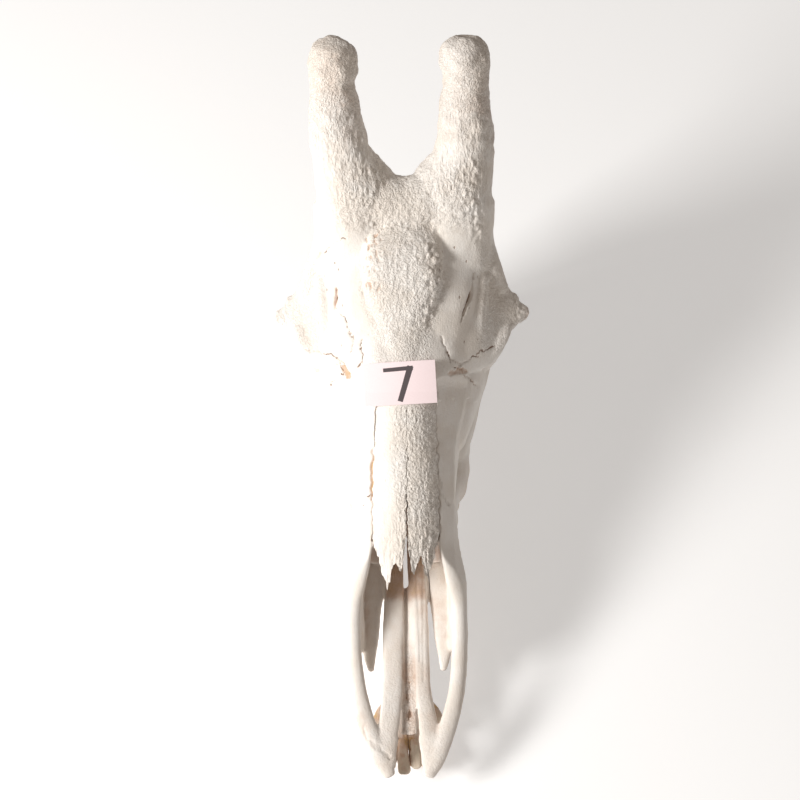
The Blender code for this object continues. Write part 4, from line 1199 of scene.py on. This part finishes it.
def worked(points, normals):
    """How far the skull's skin stands out or in, in mm, and its marks for the material.

    Noise and knobs of several sizes each have their region: a product of eased steps along x, u, s or h.
    """
    x, u, v = points[:, 0], points @ ALONG_FACE, points @ OUT_OF_FACE
    s, h = points[:, 1], points[:, 2]
    wide = abs(x)
    front = rise(normals @ OUT_OF_FACE, -0.1, 0.35)
    along = np.stack([x, u, v], -1)

    out = 0.5 * noise(points, 31, 1) + 0.28 * noise(points, 12, 2) + 0.1 * noise(points, 4.5, 3)
    out *= 1 - 0.6 * rise(u, 262, 225) * front

    # Median ossicone: round nodules at its left and lower edges, bark in the middle, pits at its right
    across = np.sqrt((x / 42) ** 2 + ((u - 524) / 62) ** 2)
    boss = rise(across, 1.12, 0.86) * front
    lumpy = np.clip(rise(x, 12, 30) + 0.7 * rise(u, 503, 482) * rise(x, -14, 4), 0, 1)
    scarce = 0.55 + 0.6 * rise(noise(points, 15, 69), -0.5, 0.4)
    out += boss * lumpy * (3.0 * scarce * knobs(points, 7.2, 5) ** 1.3 + 0.8 * knobs(points, 4.2, 6) - 0.8)
    bark = abs(noise(along, (3.4, 8.5, 4.4), 4)) + 0.5 * knobs(points, 3.2, 7) - 0.45
    out += boss * (1 - 0.5 * lumpy) * (0.45 + 0.55 * rise(x, -30, 5)) * bark
    pitted = rise(x, -16, -27) * rise(x, -46, -40) * rise(u, 498, 520) * rise(u, 582, 572) * front
    out -= pitted * 1.5 * rise(noise(along, (2.6, 4.6, 4), 8), 0.25, 0.7)

    # Bark between the ossicones, and small grains down the forehead's ridge
    crown = rise(wide, 84, 60) * rise(u, 566, 584) * rise(u, 668, 640) * front
    ridge = rise(wide, 36, 24) * rise(u, 400, 425) * rise(u, 492, 470) * front
    wormy = abs(noise(along, (3.4, 6, 4), 9)) + 0.5 * knobs(points, 3.8, 10) - 0.4
    out += crown * (0.8 + 0.15 * rise(wide, 25, 50)) * wormy + ridge * 0.35 * wormy
    brow = bell(u, 580, 8) * rise(wide, 46, 36) * front
    out += brow * (1.9 * knobs(points, 5.2, 53) - 0.4)

    # Shafts of the ossicones, like bark along their length, and their finely grained round ends
    shaft = rise(u, 585, 615) * rise(u, 722, 690) * rise(wide, 6, 22)
    bark = abs(noise(along, (2.8, 6.5, 3.2), 11)) + 0.45 * noise(along, (4.4, 14, 5), 12) - 0.25
    out += shaft * 0.75 * bark * (0.6 + 0.4 * noise(points, 22, 13))
    tip = rise(u, 695, 725)
    out += tip * (0.32 * knobs(points, 2.8, 14) + 0.2 * noise(points, 2.4, 15) - 0.12)
    out += tip * 0.35 * noise(points, 13, 16)

    # A rough streak down the outer side of the left ossicone's foot
    streak = bell(from_line(x, u, [(70, 640), (68, 612), (74, 590), (79, 575)]), 0, 10) * front
    out += streak * (2.0 * knobs(along, (4.6, 7, 5), 17) + 0.8 * abs(noise(along, (3, 9, 4), 54)) - 0.6)

    # Stippled shelf over each eye, and its knobbly outer point
    shelf = rise(wide, 74, 88) * rise(u, 440, 455) * rise(u, 560, 540) * front
    out += shelf * (0.35 * knobs(points, 2.9, 18) + 0.25 * noise(points, 3.4, 19))
    out += rise(wide, 116, 126) * (1.5 * knobs(points, 4.6, 20) - 0.5)

    # Slits, cracks and seams of the face, and the gap between nasal and cheek, widest where it shows ochre
    slit, cracks, seams = slit_edge(points), wandering(points, CRACKS, 22), wandering(points, SEAMS, 30)
    patches = wandering(points, PATCHES, 40)
    out -= 4.6 * rise(slit, 1.2, -0.6) * front
    out -= 1.1 * rise(wandering(points, FOLDS, 34), 2.6, 0.3) * front
    out -= 1.1 * rise(cracks, 1.4, 0.2) * front
    out -= 0.7 * rise(seams, 1.6, 0.3) * front
    out -= 1.4 * rise(patches, 4.0, 1.5) * front
    gap, gape = roof_gap(x, u)
    ochre = (x < 0) * bell(u, 320, 28)
    out -= (4.0 - 1.2 * ochre) * rise(gap, gape + 0.8, gape - 0.3) * rise(gap, -6, -3) * front

    # Long grooves on the left bar of the premaxilla, grainy tips, and a torn edge between them
    groove = from_line(x, u, [(9, 215), (12.5, 170), (13.5, 120)])
    groove = np.minimum(groove, from_line(x, u, [(19, 215), (18.5, 170), (17, 140), (17.5, 100)]))
    out -= 0.7 * rise(groove + 0.6 * noise(points, 9, 66), 2.3, 0.2) * front * rise(u, 238, 226)
    out += 0.14 * knobs(points, 2.7, 67) * rise(u, 130, 60) * front
    torn = rise(wide, 10, 8) * rise(u, 56, 50) * rise(h, 2, 5)
    out -= torn * (1.1 * abs(noise(points, 3.1, 68)) + 0.2)

    # Swellings over the roots of the cheek teeth, the hole in front of them, and the neck muscles' pull
    roots = rise(h, 52, 34) * rise(h, 14, 24) * rise(wide, 40, 50) * rise(s, 244, 256) * rise(s, 415, 400)
    out += roots * 0.9 * np.cos((s - 334.5) * 2 * math.pi / 29.0)
    out -= 5.0 * rise(np.sqrt((s - 236) ** 2 + (h - 44) ** 2), 5.5, 1.5) * rise(wide, 40, 46)
    back = rise(s, 585, 600) * rise(h, 96, 120)
    out += back * (1.3 * noise(points, (14, 14, 8), 50) + 0.5 * knobs(points, 4.5, 51))

    # Where it is grainy, ribbed and cracked
    rough = 0.75 * rise(across, 1.2, 0.95) + 0.75 * rise(wide, 84, 60) * rise(u, 566, 590) * rise(u, 655, 625)
    rough += 0.8 * rise(wide, 38, 22) * rise(u, 400, 425) * front + 0.95 * rise(u, 685, 720)
    rough += 0.7 * rise(wide, 72, 88) * rise(u, 440, 455) * rise(u, 575, 545)
    rough += 0.5 * rise(s, 582, 600) + 0.08
    strip = rise(wide, 8.5, 6.5) * rise(u, 150, 110) * front
    rough += 0.8 * strip + 0.22 * rise(u, 160, 80) * rise(wide, 46, 34) * front
    ribbed = (0.35 + 0.5 * rise(wide, 22, 46)) * rise(u, 585, 615) * rise(u, 738, 700) + 0.08
    faint = 0.45 * noise(points, 13, 64)
    crack = np.minimum(cracks - 0.05 + faint + 0.2 * (x > 0), slit + 0.6)
    crack = np.minimum(crack, seams + 0.15 + 1.4 * faint)
    crack = np.where(front > 0.3, np.clip(crack, -3, 6), 6)

    # Where it is stained, where shade is painted inside the nose, and where it is pitted
    orbit = [np.linalg.norm(points - np.array([way, 1, 1]) * ORBIT, axis=1) for way in (1, -1)]
    # Painted shade: warm brown inside the nose, standing in for its shade and bounced light; the strip's
    # share is a real stain
    stain_and_shade = 0.48 * in_row_body(points, NOSE_ROWS, 5.0) + 0.14 * strip
    stain_and_shade += 0.25 * rise(np.minimum(*orbit), 40, 24)
    stain_and_shade += (0.75 - 0.3 * (x > 0)) * rise(patches, 4.2, 2.0) * front
    inside = rise(gap, gape + 0.8, gape - 0.2) * rise(gap, -6, -3) * front
    stain_and_shade += inside * (0.25 + 0.95 * (x < 0) * bell(u, 320, 30))
    stain_and_shade += 0.35 * rise(crack, 1.6, 0.0) * front + 0.3 * rise(slit, 3.5, 0.5) * front * (x < 0)
    fleck = from_line(x, u, [(-91, 550), (-88, 556)])
    stain_and_shade += 0.2 * rise(wide, 128, 136) + 0.35 * bell(fleck, 0, 2.4) * front
    stain_and_shade += 0.55 * pitted * rise(out, -0.4, -1.6)
    spinal = np.sqrt(x**2 + (h - 106) ** 2)
    stain_and_shade += 0.45 * rise(spinal, 18, 14) * rise(s, 585, 600) + 0.15 * rise(h, 60, 20)
    stain_and_shade += 0.12 * rise(u, 640, 700) + 0.08 * rise(noise(points, 26, 60), 0.1, 0.7)
    pit = 0.9 * rise(wide, 30, 42) * rise(wide, 96, 84) * rise(u, 425, 445) * rise(u, 575, 560) * front
    return out, (rough, ribbed, crack, stain_and_shade, 0.04 + pit)


def ahead_of_seam():
    """All that lies ahead of the seam between cheek and forehead, which zigzags like interlocked bone."""
    a = np.linspace(-150, 150, 241)[:, None]
    b = np.linspace(-60, 260, 161)[None, :]
    top, foot = np.array([0, 362, 169.0]), np.array([0, 430, 15.0])
    down = unit(foot - top)
    forward = np.cross(down, ASIDE)
    zigzag = 2.4 * np.abs(((a + 1.3 * np.sin(b / 7)) / 6.5) % 2 - 1) + 1.6 * np.sin(a / 17 + b / 23)
    zigzag = zigzag + 1.2 * np.abs((b / 5.5) % 2 - 1)
    plane = top + a[..., None] * ASIDE + b[..., None] * down
    return between(plane + zigzag[..., None] * forward, plane + 400 * forward)


GRAIN, SMOOTHING = ((1.35, 14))
steps = [("DIFFERENCE", skull_hollows()), ("UNION", both(premaxilla_forms()))]
steps.append(("DIFFERENCE", both([cheek_slope()])))
skull = skinned("skull", skull_forms(), steps, GRAIN, SMOOTHING)
body = points_of(skull.data)
facing = normals_of(skull.data)
moved, marks = worked(body, facing)
marked(skull.data, *marks)
store(skull.data, "sound", np.ones(len(body)))
put_points(skull.data, body + facing * moved[:, None])
CLEAR = 9.0
under_roof = [nasal_form(1, SPLINTERS_LEFT, CLEAR), nasal_form(-1, SPLINTERS_RIGHT, CLEAR), slip_form(CLEAR)]
upper_sockets = both([cheek_tooth(t, 1, 0.5) for t in UPPER_TEETH])
combined(skull, [("DIFFERENCE", [*under_roof, *upper_sockets])])


# Parting. The skull is cut into its bones along the seam between cheek and forehead, at the feet of the
# ossicones, round the boss, down the middle, and where an envelope of the premaxilla meets the cheek. Each
# bone keeps its values, and is brought down to a number of triangles.
OSSICONE_FOOT, RAIL_TIPS, RAIL_ROOM = 640.0, 105, 3.4


def skew(points):
    """Sideways shift of the bars beside the palate slit, whose meeting line lies off the middle."""
    u = points @ ALONG_FACE
    aside = np.interp(points[:, 0], [-30, -25, -5.5, 0, 5.5, 25, 30], [0, -1.4, 2.1, -2.2, 1.6, -1.1, 0])
    return np.outer(aside * rise(u, 34, 60) * rise(u, 258, 236) * rise(points[:, 2], 60, 45), (1, 0, 0))


round_boss = carried([(*face(0, 527, v), 43, 60) for v in (-22, 10, 40, 70)], up=ALONG_FACE, dome=0, sides=90)
ahead = ahead_of_seam()
above = block(face(0, OSSICONE_FOOT, 0), ALONG_FACE, UP)
left_half, right_half = block((0, 0, 0), ASIDE, UP), block((0, 0, 0), -ASIDE, UP)
left_rail = joined([*premaxilla_forms(RAIL_ROOM), block((0, RAIL_TIPS, 0), -BACK, UP)])
cuts = [
    ("cranium", 190000, [("DIFFERENCE", [ahead, above, round_boss])]),
    ("median_ossicone", 60000, [("INTERSECT", [round_boss])]),
]
for side, other_half, rail in (("left", right_half, left_rail), ("right", left_half, other_side(left_rail))):
    cuts += [
        (f"ossicone_{side}", 70000, [("INTERSECT", [above]), ("DIFFERENCE", [other_half])]),
        (f"maxilla_{side}", 110000, [("INTERSECT", [ahead]), ("DIFFERENCE", [other_half, rail])]),
        (f"premaxilla_{side}", 60000, [("INTERSECT", [rail]), ("DIFFERENCE", [other_half])]),
    ]
for node, triangles, steps in cuts:
    piece = combined(shown(f"{node}_bone", skull.data.copy()), steps)
    if node.startswith("premaxilla"):
        straight = points_of(piece.data)
        put_points(piece.data, straight + skew(straight))
    laid(thinned(piece, triangles), node, bone)
bpy.data.objects.remove(skull)


# Floor, light and camera. A pale floor, a broad soft lamp from the animal's right, a weak fill, and a
# camera that looks straight down on the face from above.
floor_mesh = bpy.data.meshes.new("floor")
floor_mesh.from_pydata([(-3, -3, 0), (3, -3, 0), (3, 3, 0), (-3, 3, 0)], [], [(0, 1, 2, 3)])
floor = shown("floor", floor_mesh)
paint = bpy.data.materials.new("floor_paint")
paint.use_nodes = True
sockets = paint.node_tree.nodes["Principled BSDF"].inputs
sockets["Base Color"].default_value = (0.76, 0.76, 0.76, 1)
sockets["Emission Color"].default_value = (1, 1, 1, 1)
sockets["Emission Strength"].default_value = 0.38
sockets["Roughness"].default_value = 0.9
floor_mesh.materials.append(paint)

world = bpy.data.worlds.new("studio")
bpy.context.scene.world = world
world.use_nodes = True
sockets = world.node_tree.nodes["Background"].inputs
sockets["Color"].default_value = (1.0, 0.89, 0.80, 1)
sockets["Strength"].default_value = 0.26

CAMERA_AWAY, VIEW_WIDTH, SENSOR, CAMERA_ROLL = 2.2, 0.84, 36, math.radians(-0.853)
LAMP_AWAY, LAMP_SIZE, LAMP_POWER = 2.6, 0.75, 82.0
target = placed([face(-3.5, 398, 0)])[0]
level = np.array(Matrix.Rotation(REST_TILT, 3, "X"))
out, upward = level @ OUT_OF_FACE, level @ ALONG_FACE
key = bpy.data.lights.new("key", "AREA")
key.shape = "SQUARE"
key.size, key.energy, key.color = LAMP_SIZE, LAMP_POWER, (1.0, 0.985, 0.965)
lamp = shown("key", key)
lamp.location = target + LAMP_AWAY * unit(0.63 * out - 0.02 * upward - 0.775 * ASIDE)
aim = Vector((0, 0.02, 0.22)) - lamp.location
lamp.rotation_euler = aim.to_track_quat("-Z", "Y").to_euler()

camera = bpy.data.cameras.new("camera")
camera.sensor_width = SENSOR
camera.lens = SENSOR * CAMERA_AWAY / VIEW_WIDTH
eye = shown("camera", camera)
eye.rotation_mode = "QUATERNION"
facing_camera = Matrix(((1, 0, 0), tuple(upward), tuple(out))).transposed().to_quaternion()
eye.rotation_quaternion = facing_camera @ Quaternion((0, 0, 1), CAMERA_ROLL)
eye.location = target + out * CAMERA_AWAY
bpy.context.scene.camera = eye
bpy.context.scene.view_settings.view_transform = "Standard"
